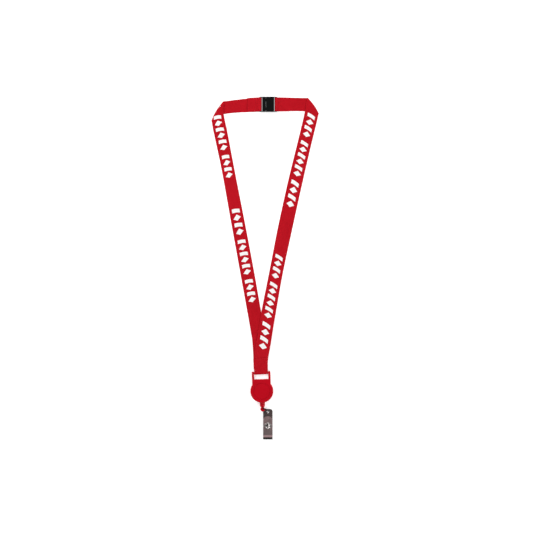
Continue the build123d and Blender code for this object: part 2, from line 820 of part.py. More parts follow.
def make_flap():
    """The front layer, which snaps shut over the badge's slot."""
    bottom = STRAP_THICK / 2 + STRAP_GAP
    with BuildPart() as layer:
        add(strap_sheet(bottom, FLAP_TOP, FLAP_CORNER))
        extrude(amount=STRAP_THICK, dir=STRAP.z_dir)
        with BuildSketch(STRAP.offset(bottom - 0.1)):
            with Locations((0, SNAP_Y)):
                Circle(SNAP_HOLE)
        extrude(amount=STRAP_THICK + 0.2, mode=Mode.SUBTRACT)
    save(layer.part, "clip_front_flap")
    return layer.part


def make_strap_fold():
    """The bend at the bottom of the snap strap."""
    side = Plane(
        origin=STRAP.from_local_coords((-STRAP_WIDTH / 2, FOLD_Y, (STRAP_THICK + STRAP_GAP) / 2)),
        x_dir=STRAP.y_dir,
        z_dir=STRAP.x_dir,
    )
    with BuildPart() as bend:
        with BuildSketch(side):
            Circle(FOLD_OUTER)
            Circle(STRAP_GAP / 2, mode=Mode.SUBTRACT)
            Rectangle(FOLD_OUTER, 2 * FOLD_OUTER, align=(Align.MIN, Align.CENTER), mode=Mode.SUBTRACT)
        extrude(amount=STRAP_WIDTH)
    save(bend.part, "clip_fold")
    return bend.part


def turned_at_snap(label, outline):
    """A round piece of the snap, turned from a half section given as (radius, height) points."""
    side = Plane(
        origin=STRAP.from_local_coords((0, SNAP_Y, 0)), x_dir=STRAP.x_dir, z_dir=STRAP.y_dir * -1
    )
    with BuildPart() as piece:
        with BuildSketch(side):
            with BuildLine():
                Polyline(*outline, close=True)
            make_face()
        revolve(axis=Axis(side.origin, STRAP.z_dir))
    save(piece.part, label)
    return piece.part


def make_snap():
    """The four pieces of the snap fastener."""
    back = STRAP_THICK / 2
    inside = back + STRAP_GAP
    front = inside + STRAP_THICK
    post = turned_at_snap(
        "snap_post",
        [
            (0, -back - 0.8),
            (POST_RADIUS - 0.5, -back - 0.8),
            (POST_RADIUS, -back - 0.4),
            (POST_RADIUS, -back),
            (SNAP_STEM, -back),
            (SNAP_STEM, back + 0.35),
            (0, back + 0.35),
        ],
    )
    stud = turned_at_snap(
        "snap_stud",
        [
            (0, back + 0.4),
            (SNAP_STEM + 0.05, back + 0.4),
            (SNAP_STEM + 0.05, back),
            (STUD_RADIUS, back),
            (STUD_RADIUS, back + 0.35),
            (STUD_HEAD, back + 0.45),
            (STUD_HEAD, back + 1.0),
            (STUD_HEAD - 0.3, back + 1.2),
            (0, back + 1.2),
        ],
    )
    socket = turned_at_snap(
        "snap_socket",
        [
            (0, inside - 0.35),
            (SOCKET_MOUTH, inside - 0.35),
            (SOCKET_MOUTH, inside - 1.1),
            (SOCKET_RADIUS - 0.7, inside - 1.1),
            (SOCKET_RADIUS, inside - 0.6),
            (SOCKET_RADIUS, inside),
            (SNAP_STEM - 0.05, inside),
            (SNAP_STEM - 0.05, inside - 0.05),
            (0, inside - 0.05),
        ],
    )
    cap = turned_at_snap(
        "snap_cap",
        [
            (0, inside),
            (SNAP_STEM - 0.1, inside),
            (SNAP_STEM - 0.1, front),
            (CAP_RADIUS, front),
            (CAP_RADIUS, front + 0.5),
            (CAP_RADIUS - 0.55, front + 1.0),
            (CAP_RADIUS - 1.35, front + 1.0),
            (CAP_RADIUS - 1.75, front + 0.7),
            (0, front + 0.9),
        ],
    )
    return post, stud, socket, cap


def print_joint_facts():
    """The places and directions that the joints use, in this frame."""
    ring_plane, eye, mean_radius = ring_frame()
    fold = STRAP.from_local_coords((0, FOLD_Y, (STRAP_THICK + STRAP_GAP) / 2))
    bar = REEL.from_local_coords((0, FRAME_BAR_Y, LOOP_HEIGHT))
    print("bar", bar, "reel x", REEL.x_dir, "reel y", REEL.y_dir)
    print("ring axis at", eye, "along", ring_plane.y_dir, "mean radius", mean_radius)
    print("strap hole", STRAP.origin, "normal", STRAP.z_dir, "fold", fold)


os.makedirs("parts", exist_ok=True)
make_left_strap()
make_left_end()
make_right_strap()
make_slot_loop()
make_stitching()
make_plug()
make_socket()
make_rear_shell()
make_front_shell()
make_front_disc()
make_exit_bush()
make_centre_pin()
make_spool()
make_mainspring()
make_cord_coil()
make_cord_lead()
make_cord_run()
make_fitting()
make_knot()
make_link_ring()
make_back_strap()
make_flap()
make_strap_fold()
make_snap()
print_joint_facts()
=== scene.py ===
"""A neck lanyard laid flat: printed webbing, a breakaway buckle, and a badge reel with a snap strap.

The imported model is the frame. Soft pieces are built here as thin solids that follow the same
layers as the CAD, and the moulded and metal parts are the CAD nodes with their own finishes.
Lengths in the plan tables are in millimetres, and MM turns them into metres.
"""

import json
import math
import bpy
import bmesh
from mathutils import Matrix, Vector, noise


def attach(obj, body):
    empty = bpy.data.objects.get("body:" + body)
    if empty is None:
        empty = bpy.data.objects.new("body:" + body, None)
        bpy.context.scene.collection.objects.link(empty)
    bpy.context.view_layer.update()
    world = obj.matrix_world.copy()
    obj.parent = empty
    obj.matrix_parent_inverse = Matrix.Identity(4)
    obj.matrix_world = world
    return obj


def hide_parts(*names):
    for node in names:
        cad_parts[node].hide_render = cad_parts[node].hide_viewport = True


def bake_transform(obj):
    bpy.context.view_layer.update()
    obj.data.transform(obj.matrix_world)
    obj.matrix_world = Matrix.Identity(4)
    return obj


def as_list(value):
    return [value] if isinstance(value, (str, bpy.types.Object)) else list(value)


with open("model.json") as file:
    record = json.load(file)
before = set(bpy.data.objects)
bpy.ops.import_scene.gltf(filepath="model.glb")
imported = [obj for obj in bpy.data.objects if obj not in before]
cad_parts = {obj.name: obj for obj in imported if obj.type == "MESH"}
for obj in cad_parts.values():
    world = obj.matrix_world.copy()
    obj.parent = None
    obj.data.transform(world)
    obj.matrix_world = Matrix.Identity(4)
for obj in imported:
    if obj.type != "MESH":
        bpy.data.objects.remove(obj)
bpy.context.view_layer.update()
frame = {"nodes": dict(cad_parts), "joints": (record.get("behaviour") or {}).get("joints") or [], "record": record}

MM = 0.001


# ---------------- camera

PICTURE_WIDTH = 0.746  # width of the table that the picture takes in, in metres
PICTURE_CENTRE = (0.00161, 0.00245)
CAMERA_HEIGHT = 2.6
SENSOR_WIDTH = 36.0
CLIP_RANGE = (0.1, 20.0)


def make_camera():
    """A long lens straight above the table, with the top of the picture towards +Y."""
    data = bpy.data.cameras.new("camera")
    data.sensor_width = SENSOR_WIDTH
    data.lens = SENSOR_WIDTH * CAMERA_HEIGHT / PICTURE_WIDTH
    data.clip_start, data.clip_end = CLIP_RANGE
    camera = bpy.data.objects.new("camera", data)
    camera.location = (*PICTURE_CENTRE, CAMERA_HEIGHT)
    bpy.context.scene.collection.objects.link(camera)
    bpy.context.scene.camera = camera


# ---------------- node helpers

MIX_FACTOR, MIX_FIRST, MIX_SECOND, MIX_RESULT = 0, 6, 7, 2  # the colour sockets of a Mix node


class Finish:
    """A material with a Principled shader, and short calls for the nodes that feed it."""

    def __init__(self, name, **constants):
        self.material = bpy.data.materials.new(name)
        self.material.use_nodes = True
        self.tree = self.material.node_tree
        self.shader = self.tree.nodes["Principled BSDF"]
        for label, value in constants.items():
            self.shader.inputs[label.replace("_", " ")].default_value = value

    def node(self, kind, **settings):
        """A new node with its settings."""
        made = self.tree.nodes.new(kind)
        for key, value in settings.items():
            setattr(made, key, value)
        return made

    def put(self, value, socket):
        """Link a socket, or set a constant."""
        if isinstance(value, bpy.types.NodeSocket):
            self.tree.links.new(value, socket)
        else:
            socket.default_value = value

    def fill(self, made, **values):
        """Feed a node's sockets by their labels."""
        for label, value in values.items():
            self.put(value, made.inputs[label])

    def math(self, operation, first, second=0.0):
        """A calculation on one or two values."""
        made = self.node("ShaderNodeMath", operation=operation)
        for socket, value in zip(made.inputs, (first, second)):
            self.put(value, socket)
        return made.outputs[0]

    def place(self, source="Object", scale=(1, 1, 1)):
        """Object or UV coordinates, stretched by scale."""
        coordinates = self.node("ShaderNodeTexCoord").outputs[source]
        made = self.node("ShaderNodeMapping")
        self.fill(made, Vector=coordinates, Scale=scale)
        return made.outputs[0]

    def noise(self, vector, scale, detail=3.0, roughness=0.5, distortion=0.0):
        """Cloudy noise. scale is in clouds per metre of the given coordinates."""
        made = self.node("ShaderNodeTexNoise")
        self.fill(made, Vector=vector, Scale=scale, Detail=detail, Roughness=roughness, Distortion=distortion)
        return made.outputs["Fac"]

    def wave(self, vector, scale, distortion=0.0):
        """Slanting bands of light and dark. scale sets how many there are to a metre."""
        made = self.node("ShaderNodeTexWave", wave_type="BANDS", bands_direction="DIAGONAL")
        self.fill(made, Vector=vector, Scale=scale, Distortion=distortion)
        return made.outputs["Fac"]

    def range(self, value, span, result):
        """The value, mapped in a straight line from one pair of ends to another, and held past the ends."""
        made = self.node("ShaderNodeMapRange")
        for socket, given in zip(made.inputs, (value, *span, *result)):
            self.put(given, socket)
        return made.outputs[0]

    def mix(self, factor, first, second):
        """Blend two colours."""
        made = self.node("ShaderNodeMix", data_type="RGBA")
        self.put(factor, made.inputs[MIX_FACTOR])
        self.put(first, made.inputs[MIX_FIRST])
        self.put(second, made.inputs[MIX_SECOND])
        return made.outputs[MIX_RESULT]

    def bump(self, height, distance, strength=1.0, under=None):
        """A normal from a height that stands distance metres high. under is a normal that it adds to."""
        made = self.node("ShaderNodeBump")
        self.fill(made, Strength=strength, Distance=distance, Height=height)
        if under is not None:
            self.fill(made, Normal=under)
        return made.outputs[0]

    def strip(self):
        """A piece's strip coordinates in metres: along the strip it was cut from, and across it."""
        split = self.node("ShaderNodeSeparateXYZ")
        self.put(self.node("ShaderNodeTexCoord").outputs["UV"], split.inputs[0])
        return split.outputs[0], split.outputs[1]

    def use(self, label, value):
        """Feed one of the shader's own sockets."""
        self.put(value, self.shader.inputs[label])


# ---------------- finishes

RED_CLOTH = (0.490, 0.0024, 0.0105, 1)
RED_CLOTH_DEEP = (0.360, 0.0012, 0.0060, 1)
RED_CLOTH_LIGHT = (0.545, 0.0040, 0.0140, 1)
RED_PLASTIC = (0.495, 0.0024, 0.0115, 1)
RED_PLASTIC_DEEP = (0.430, 0.0018, 0.0085, 1)
BLACK_PLASTIC = (0.0030, 0.0030, 0.0031, 1)
BLACK_PLASTIC_DEEP = (0.0018, 0.0018, 0.0018, 1)
WHITE_NYLON = (0.72, 0.72, 0.70, 1)
WHITE_NYLON_DEEP = (0.66, 0.66, 0.63, 1)
WHITE_INK = (0.90, 0.885, 0.88, 1)
WORN_INK = (0.70, 0.33, 0.34, 1)
SPRING_STEEL = (0.45, 0.46, 0.48, 1)
BLACK_NICKEL = (0.055, 0.050, 0.050, 1)
SNAP_PLATING = (0.43, 0.395, 0.385, 1)
METAL_SHADE = 0.7  # how much darker a metal's clouded patches are
# the flap's paler tone is a painted reflection
VINYL_FLAP_REFLECTION = (0.31, 0.215, 0.215, 1)
VINYL_MIDDLE = (0.20, 0.150, 0.150, 1)
VINYL_SMOKY = (0.13, 0.095, 0.095, 1)
# a painted highlight band beside the fold
VINYL_FOLD_HIGHLIGHT = (0.44, 0.290, 0.300, 1)
# painted shade round the fold
VINYL_FOLD_SHADE = (0.022, 0.018, 0.018, 1)
VINYL_DEEP = (0.085, 0.064, 0.063, 1)

WEAVE_RIB = 0.00062  # from one rib to the next across the webbing, in metres
WEAVE_PICK = 0.00048  # from one crossing thread to the next along it, in metres

# Where the vinyl's tone changes, in millimetres along the strip. Each pair is the ends of the change.
# Painted reflection: the flap grows paler away from the fold.
REFLECTION_PAST_FOLD = (6.0, 26.0)
# Painted highlight: a pale band just past the fold.
HIGHLIGHT_PAST_FOLD = (4.2, 5.2)
# Painted shade round the fold itself.
FOLD_SHADE_PAST_FOLD = (1.3, 2.1)
SMOKY_BEFORE_FOLD = (3.0, 6.0)
DEEP_AT_HOLE = (14.0, 9.0)


def weave_height(finish):
    """The height of a ribbed plain weave, whose crossing threads step by half from rib to rib."""
    along, across = finish.strip()
    warp_phase = finish.math("MULTIPLY", across, math.pi / WEAVE_RIB)
    warp = finish.math("ABSOLUTE", finish.math("SINE", warp_phase))
    column = finish.math("FLOOR", finish.math("DIVIDE", across, WEAVE_RIB))
    picks = finish.math("DIVIDE", along, WEAVE_PICK)
    shifted = finish.math("ADD", picks, finish.math("MULTIPLY", column, 0.5))
    weft = finish.math("ABSOLUTE", finish.math("SINE", finish.math("MULTIPLY", shifted, math.pi)))
    return finish.math("MULTIPLY", finish.math("POWER", warp, 0.6), finish.math("ADD", weft, 0.35))


def webbing_finish():
    """Woven polyester: ribs, a soft sheen, and slight unevenness of dye and of tension."""
    finish = Finish("webbing", Sheen_Weight=0.03, Sheen_Roughness=0.5, Specular_IOR_Level=0.08)
    place = finish.place()
    height = weave_height(finish)
    broad = finish.noise(place, scale=28.0, detail=2.0)
    fine = finish.noise(finish.place("UV", (180, 2600, 1)), scale=1.0, detail=3.0, roughness=0.6)
    mottled = finish.mix(finish.range(broad, (0.3, 0.7), (0.0, 1.0)), RED_CLOTH, RED_CLOTH_LIGHT)
    threads = finish.mix(finish.range(fine, (0.35, 0.75), (0.0, 0.45)), mottled, RED_CLOTH_DEEP)
    # painted shade: the weave's valleys are darkened
    valley_shade = finish.range(height, (0.0, 0.55), (0.55, 0.0))
    finish.use("Base Color", finish.mix(valley_shade, threads, RED_CLOTH_DEEP))
    finish.use("Roughness", finish.range(fine, (0.2, 0.8), (0.62, 0.80)))
    slack = finish.bump(broad, distance=0.0006, strength=0.5)
    finish.use("Normal", finish.bump(height, distance=0.00012, strength=0.8, under=slack))
    return finish.material


def thread_finish():
    """Twisted sewing thread, a little shinier than the webbing."""
    finish = Finish("thread", Roughness=0.5, Sheen_Weight=0.05, Specular_IOR_Level=0.15)
    twist = finish.wave(finish.place(), scale=1500.0, distortion=0.6)
    # painted light and shade: the twist's raised bands are paler and its grooves darker
    finish.use("Base Color", finish.mix(twist, RED_CLOTH_DEEP, RED_CLOTH_LIGHT))
    finish.use("Normal", finish.bump(twist, distance=0.00005, strength=0.8))
    return finish.material


def ink_finish():
    """White screen print that sits in the weave and shows its ribs."""
    finish = Finish("ink", Roughness=0.62, Specular_IOR_Level=0.35)
    height = weave_height(finish)
    patch = finish.noise(finish.place(), scale=900.0, detail=4.0, roughness=0.65)
    valley = finish.range(height, (0.0, 0.2), (1.0, 0.0))
    worn = finish.math("MULTIPLY", valley, finish.range(patch, (0.45, 0.7), (0.0, 0.5)))
    finish.use("Base Color", finish.mix(worn, WHITE_INK, WORN_INK))
    finish.use("Roughness", finish.range(patch, (0.3, 0.7), (0.55, 0.7)))
    finish.use("Normal", finish.bump(height, distance=0.00005, strength=0.5))
    return finish.material


def moulded_finish(name, colour, deeper, rough, grain, gloss, coat=0.0):
    """Injection-moulded plastic: faint grain, handling marks in the gloss, and a little tone.

    rough is its roughness, grain the scale of its skin, and gloss its specular level.
    """
    finish = Finish(name, Coat_Weight=coat, Coat_Roughness=0.12, Specular_IOR_Level=gloss)
    place = finish.place()
    broad = finish.noise(place, scale=60.0)
    skin = finish.noise(place, scale=grain, detail=2.0, roughness=0.55)
    stretched = finish.place("Object", (1, 6, 1))
    rubbed = finish.noise(stretched, scale=160.0, detail=5.0, roughness=0.7, distortion=0.4)
    finish.use("Base Color", finish.mix(finish.range(broad, (0.35, 0.7), (0.0, 0.6)), colour, deeper))
    finish.use("Roughness", finish.range(rubbed, (0.3, 0.75), (rough - 0.03, rough + 0.05)))
    finish.use("Normal", finish.bump(skin, distance=0.00004, strength=0.2))
    return finish.material


def metal_finish(name, colour, rough, brushed=1.0, dents=0.0):
    """Plated metal with fine polishing lines.

    brushed stretches the lines, and dents is the depth in metres of its small unevenness.
    """
    finish = Finish(name, Metallic=1.0)
    place = finish.place("Object", (1, 1, brushed))
    lines = finish.noise(place, scale=700.0, detail=4.0, roughness=0.6)
    cloud = finish.noise(finish.place(), scale=180.0)
    shade = tuple(METAL_SHADE * channel for channel in colour[:3]) + (1,)
    finish.use("Base Color", finish.mix(finish.range(cloud, (0.35, 0.7), (0.0, 0.6)), colour, shade))
    finish.use("Roughness", finish.range(lines, (0.25, 0.75), (rough - 0.05, rough + 0.12)))
    under = None
    if dents:
        dent = finish.noise(finish.place("Object", (1, 1.4, 1)), scale=205.0, detail=0.0)
        under = finish.bump(dent, distance=dents)
    finish.use("Normal", finish.bump(lines, distance=0.00002, strength=0.3, under=under))
    return finish.material


def vinyl_finish():
    """Smoky clear vinyl, deeper at its punched end, with painted shade round the fold, a painted highlight band
    beside it, and a painted reflection that makes the flap paler.
    """
    finish = Finish("vinyl", IOR=1.46, Transmission_Weight=0.25, Specular_IOR_Level=0.5)
    place = finish.place()
    cloud = finish.noise(place, scale=190.0, detail=4.0, roughness=0.6)
    stretched = finish.place("Object", (5, 1, 1))
    scuff = finish.noise(stretched, scale=260.0, detail=5.0, roughness=0.7, distortion=0.6)
    along = finish.math("DIVIDE", finish.strip()[0], MM)
    past_fold = finish.math("SUBTRACT", along, BACK_LENGTH + FOLD_LENGTH)
    smoky_from, smoky_to = (BACK_LENGTH - distance for distance in SMOKY_BEFORE_FOLD)
    # painted reflection: the flap pales away from the fold
    tone = finish.mix(finish.range(past_fold, REFLECTION_PAST_FOLD, (0.0, 1.0)), VINYL_MIDDLE, VINYL_FLAP_REFLECTION)
    tone = finish.mix(finish.range(cloud, (0.35, 0.75), (0.0, 0.7)), tone, VINYL_SMOKY)
    # painted highlight: a pale band just past the fold
    tone = finish.mix(finish.range(past_fold, HIGHLIGHT_PAST_FOLD, (1.0, 0.0)), tone, VINYL_FOLD_HIGHLIGHT)
    # painted shade round the fold
    tone = finish.mix(finish.range(past_fold, FOLD_SHADE_PAST_FOLD, (1.0, 0.0)), tone, VINYL_FOLD_SHADE)
    tone = finish.mix(finish.range(along, (smoky_from, smoky_to), (0.0, 1.0)), tone, VINYL_SMOKY)
    tone = finish.mix(finish.range(along, DEEP_AT_HOLE, (0.0, 0.9)), tone, VINYL_DEEP)
    finish.use("Base Color", tone)
    finish.use("Roughness", finish.range(scuff, (0.35, 0.8), (0.12, 0.34)))
    finish.use("Normal", finish.bump(cloud, distance=0.0006, strength=0.25))
    return finish.material


def cord_finish():
    """Braided nylon: two sets of slanting strands, mirrored, with the higher one on top."""
    finish = Finish("cord", Roughness=0.5, Sheen_Weight=0.2)
    braids = [finish.wave(finish.place(scale=(mirror, 1, 1)), scale=900.0) for mirror in (1, -1)]
    braid = finish.math("MAXIMUM", *braids)
    # painted light and shade: the raised strands are paler and the grooves between them darker
    finish.use("Base Color", finish.mix(braid, RED_CLOTH_DEEP, RED_CLOTH_LIGHT))
    finish.use("Normal", finish.bump(braid, distance=0.00008, strength=0.7))
    return finish.material


# ---------------- mesh helpers


def new_piece(name, points, faces, material, smooth=True, strip=None):
    """A mesh piece. strip holds each point's place in the cut strip, in metres, for the weave."""
    mesh = bpy.data.meshes.new(name)
    mesh.from_pydata([tuple(p) for p in points], [], faces)
    mesh.validate()
    if strip:
        layer = mesh.uv_layers.new(name="Strip")
        for loop in mesh.loops:
            layer.data[loop.index].uv = strip[loop.vertex_index]
    for polygon in mesh.polygons:
        polygon.use_smooth = smooth
    mesh.materials.append(material)
    piece = bpy.data.objects.new(name, mesh)
    bpy.context.scene.collection.objects.link(piece)
    return piece


def add_tube_faces(faces, first, spans, sides, clockwise=False):
    """Side and end faces of a tube whose rings of points start at the point numbered first."""
    made = []
    for k in range(spans):
        for m in range(sides):
            a, b = first + k * sides + m, first + k * sides + (m + 1) % sides
            made.append((a, b, b + sides, a + sides))
    made.append(tuple(first + m for m in reversed(range(sides))))
    made.append(tuple(first + spans * sides + m for m in range(sides)))
    faces.extend(face[::-1] if clockwise else face for face in made)


def curve_point(controls, share):
    """A point on a smooth line through the controls, share of the way along their joined length."""
    lengths = [(b - a).length for a, b in zip(controls, controls[1:])]
    left = share * sum(lengths)
    index = 0
    while index < len(lengths) - 1 and left > lengths[index]:
        left -= lengths[index]
        index += 1
    t = min(1.0, left / lengths[index])
    before = controls[index - 1] if index > 0 else controls[0] * 2 - controls[1]
    start, end = controls[index], controls[index + 1]
    after = controls[index + 2] if index + 2 < len(controls) else end * 2 - start
    span = lengths[index]
    start_slope = (end - before) * (span / ((start - before).length + span))
    end_slope = (after - start) * (span / ((after - end).length + span))
    return (
        start * (2 * t**3 - 3 * t**2 + 1)
        + start_slope * (t**3 - 2 * t**2 + t)
        + end * (3 * t**2 - 2 * t**3)
        + end_slope * (t**3 - t**2)
    )


def plan_line(*points):
    """Plan points in millimetres as vectors."""
    return [Vector((x, y, 0)) for x, y in points]


def ease(value, start, end):
    """0 before start, 1 past end, and smooth between them."""
    t = min(1.0, max(0.0, (value - start) / (end - start)))
    return t * t * (3 - 2 * t)


# ---------------- webbing ribbons

WEB_THICK = 0.8
PITCH = 0.95  # one layer of webbing to the next
TABLE_Z = WEB_THICK / 2 + 0.02  # middle of a layer that lies on the table
BAR_LOOP_RADIUS = 1.425
BAR_HEIGHT = TABLE_Z + BAR_LOOP_RADIUS
EDGE_STEPS = (0.0, 0.06, 0.2, 0.4, 0.8, 1.25, 1.7, 2.2)  # across the selvedge, from the edge inwards
INNER_STEPS = 7
SELVEDGE_WIDTH = 1.7
SELVEDGE_FULLNESS = 0.05
MIDDLE_SHARE = 0.97  # of the round edge's thickness, away from the selvedge
SAME_ROW = 0.05  # a row nearer than this to the last one is left out
ROLL_STEPS = 10  # round a folded edge


def across_shares(width):
    """Where the mesh's lengthwise lines lie across the webbing, from 0 at one edge to 1 at the other."""
    edge = [step / width for step in EDGE_STEPS]
    inner_width = 1 - 2 * edge[-1]
    inner = [edge[-1] + inner_width * (i + 1) / INNER_STEPS for i in range(INNER_STEPS - 1)]
    return edge + inner + [1 - share for share in reversed(edge)]


def half_thickness(from_edge):
    """Half the webbing's thickness: round at the selvedge, which is a little fuller than the middle."""
    round_radius = WEB_THICK / 2
    if from_edge < round_radius:
        return math.sqrt(max(0.0, round_radius**2 - (round_radius - from_edge) ** 2))
    share = min(1.0, (from_edge - round_radius) / (SELVEDGE_WIDTH - round_radius))
    return round_radius * MIDDLE_SHARE + SELVEDGE_FULLNESS * math.sin(math.pi * share)


class Ribbon:
    """A strip of webbing as rows of points across its middle surface, from one cut end to the other."""

    def __init__(self, width):
        self.width = width
        self.shares = across_shares(width)
        self.rows = []

    def row(self, first, second, bulge=Vector()):
        """Points from one edge to the other. bulge moves the middle of the row."""
        return [first.lerp(second, v) + bulge * (4 * v * (1 - v)) for v in self.shares]

    def add(self, row):
        """Add a row, unless it is the last one again."""
        if self.rows and max((p - q).length for p, q in zip(row, self.rows[-1])) < SAME_ROW:
            return
        self.rows.append(row)

    def add_stretch(self, first, second, height, count, bulge=None):
        """Rows between two edge lines. height gives z from a point, and bulge a row's shift at its middle."""
        for i in range(count + 1):
            share = i / count
            shift = bulge(share) if bulge else Vector()
            row = self.row(curve_point(first, share), curve_point(second, share), shift)
            for point, v in zip(row, self.shares):
                point.z = height(point, v)
            self.add(row)

    def add_roll(self, edge, bulge, outward):
        """The half turn round a folded edge, from the layer on the table up to the next one."""
        middle, radius = TABLE_Z + PITCH / 2, PITCH / 2
        for i in range(1, ROLL_STEPS):
            angle = math.pi * i / ROLL_STEPS
            row = [point + outward * (radius * math.sin(angle)) for point in self.row(*edge, outward * bulge)]
            for point in row:
                point.z = middle - radius * math.cos(angle)
            self.rows.append(row)

    def finish(self, turned=False):
        """Work out strip coordinates and normals for every point. turned puts the face on the other side."""
        if turned:
            for row in self.rows:
                row.reverse()
        count, columns = len(self.rows), len(self.shares)
        self.along = [[0.0] * columns]
        for i in range(1, count):
            step = [(self.rows[i][j] - self.rows[i - 1][j]).length for j in range(columns)]
            self.along.append([self.along[-1][j] + step[j] for j in range(columns)])
        self.normals = []
        for i in range(count):
            ahead, behind = self.rows[min(count - 1, i + 1)], self.rows[max(0, i - 1)]
            line = []
            for j in range(columns):
                lengthwise = ahead[j] - behind[j]
                crosswise = self.rows[i][min(columns - 1, j + 1)] - self.rows[i][max(0, j - 1)]
                line.append(lengthwise.cross(crosswise).normalized())
            self.normals.append(line)

    def piece(self, name, material):
        """The ribbon as a closed solid, with its strip coordinates."""
        points, strip, faces = [], [], []
        count, columns = len(self.rows), len(self.shares)
        top, under = [], []
        for i in range(count):
            for side, indexes in ((1, top), (-1, under)):
                line = []
                for j, v in enumerate(self.shares):
                    from_edge = min(v, 1 - v) * self.width
                    if side == -1 and j in (0, columns - 1):
                        line.append(top[i][j])
                        continue
                    offset = self.normals[i][j] * (side * half_thickness(from_edge))
                    line.append(len(points))
                    points.append((self.rows[i][j] + offset) * MM)
                    strip.append((self.along[i][j] * MM, v * self.width * MM))
                indexes.append(line)
        for i in range(count - 1):
            for j in range(columns - 1):
                faces.append((top[i][j], top[i + 1][j], top[i + 1][j + 1], top[i][j + 1]))
                faces.append((under[i][j + 1], under[i + 1][j + 1], under[i + 1][j], under[i][j]))
        for i, flip in ((0, False), (count - 1, True)):
            for j in range(columns - 1):
                corners = [top[i][j], top[i][j + 1], under[i][j + 1], under[i][j]]
                corners = [c for k, c in enumerate(corners) if c not in corners[:k]]
                faces.append(tuple(reversed(corners)) if flip else tuple(corners))
        return new_piece(name, points, faces, material, True, strip)

    def at(self, u, v, lift):
        """A point lift above the middle surface, on the face side, u along in mm and v across from 0 to 1."""
        j = 0
        while j < len(self.shares) - 2 and self.shares[j + 1] < v:
            j += 1
        t = (v - self.shares[j]) / (self.shares[j + 1] - self.shares[j])
        low, high = 0, len(self.rows) - 1
        while high - low > 1:
            middle = (low + high) // 2
            if self.along[middle][j] * (1 - t) + self.along[middle][j + 1] * t <= u:
                low = middle
            else:
                high = middle
        start = self.along[low][j] * (1 - t) + self.along[low][j + 1] * t
        end = self.along[high][j] * (1 - t) + self.along[high][j + 1] * t
        s = min(1.0, max(0.0, (u - start) / (end - start)))
        place, normal = Vector(), Vector()
        for row, share in ((low, 1 - s), (high, s)):
            for column, part in ((j, 1 - t), (j + 1, t)):
                place += self.rows[row][column] * (share * part)
                normal += self.normals[row][column] * (share * part)
        return place + normal.normalized() * lift

    def length(self):
        """The mean length from one cut end to the other."""
        return sum(self.along[-1]) / len(self.along[-1])


LIE_LIFT = 0.5  # how far webbing stands off the table where it doesn't lie flat
WAVE_RATE = 0.018  # waves per millimetre
CURL_RATE = 0.011
CURL_PLACE = 3.7  # a place of its own in the noise
CURL_SHARE = 0.9
WAVE_RAISE = 0.25


def lie(seed):
    """The slight unevenness of webbing that lies on a table, up from it and never below."""

    def height(point, v):
        wave = noise.noise(Vector((point.x * WAVE_RATE, point.y * WAVE_RATE, seed)))
        curl = noise.noise(Vector((point.y * CURL_RATE, seed, CURL_PLACE))) * (v - 0.5)
        return LIE_LIFT * max(0.0, wave + WAVE_RAISE) + CURL_SHARE * LIE_LIFT * max(0.0, curl)

    return height


# Plan outline, in millimetres. A folded edge runs from its upper end to its outer one, and bows
# outwards by its bulge. A leg's two lines start at those ends, and run down to the sewn join.
LEFT_FOLD_TOP, LEFT_FOLD_END = (-57.45, 233.65), (-74.95, 205.2)
LEFT_FOLD_BULGE = 1.9
LEFT_OUTWARD = Vector((-0.857, 0.515, 0))
RIGHT_FOLD_TOP, RIGHT_FOLD_END = (58.4, 238.2), (74.3, 215.7)
RIGHT_FOLD_BULGE = 1.3
RIGHT_OUTWARD = Vector((0.804, 0.594, 0))
LEFT_TOP_UPPER = plan_line((-6.7, 239.0), (-25.1, 237.5), (-42.0, 235.6), LEFT_FOLD_TOP)
LEFT_TOP_LOWER = plan_line((-6.7, 219.1), (-25.1, 218.4), (-45.0, 217.3), (-62.0, 214.3), LEFT_FOLD_END)
LEFT_LEG_INNER = plan_line(
    LEFT_FOLD_TOP, (-58.2, 215.9), (-53.7, 193.5), (-40.9, 126.3), (-27.7, 59.1), (-15.1, -8.1),
    (-6.2, -59.2), (0.2, -97.0), (2.4, -120.0), (2.9, -141.0),
)
LEFT_LEG_OUTER = plan_line(
    LEFT_FOLD_END, (-73.3, 195.0), (-70.6, 182.3), (-61.1, 137.5), (-49.0, 70.3), (-36.8, 3.1),
    (-24.6, -64.1), (-19.7, -92.0), (-18.5, -99.0), (-17.0, -120.1), (-16.4, -141.0),
)
RIGHT_TOP_UPPER = plan_line((19.3, 239.1), (26.0, 238.9), (40.0, 238.5), RIGHT_FOLD_TOP)
RIGHT_TOP_LOWER = plan_line((19.3, 219.4), (28.0, 219.7), (48.0, 219.8), (62.0, 219.0), RIGHT_FOLD_END)
RIGHT_LEG_INNER = plan_line(
    RIGHT_FOLD_TOP, (55.4, 219.8), (49.4, 193.5), (32.9, 126.3), (18.0, 59.1), (4.9, -8.1),
    (-5.1, -58.5), (-11.6, -97.0), (-15.6, -121.0), (-16.2, -141.0),
)
RIGHT_LEG_OUTER = plan_line(
    RIGHT_FOLD_END, (72.0, 204.7), (63.8, 171.1), (53.4, 126.3), (38.6, 59.1), (24.3, -8.1),
    (12.5, -75.3), (7.1, -108.9), (3.9, -127.1), (2.8, -141.0),
)
BUCKLE_Y = 229.2
PLUG_BAR_X = -6.7
SOCKET_BAR_X = 14.7
TAIL_REACH = 18.4  # from a bar to the cut end of its tail
TAIL_LIFT = 0.03
BAR_CLEAR = 4.6  # from a bar to where the webbing lies flat again
BAR_HALF_WIDTH = 9.8  # of the webbing, squeezed a little in the buckle's slots
BAR_TURN_STEPS = 18
LANDING = 0.6  # flat stretch just past the webbing's slope down from its bar
LOOP_EXIT = math.radians(35)  # past the half turn, before the webbing runs straight
LEFT_WIDTH = 19.0
RIGHT_WIDTH = 19.6
TAIL_ROWS = 10
TOP_ROWS = 44
LEG_ROWS = 230


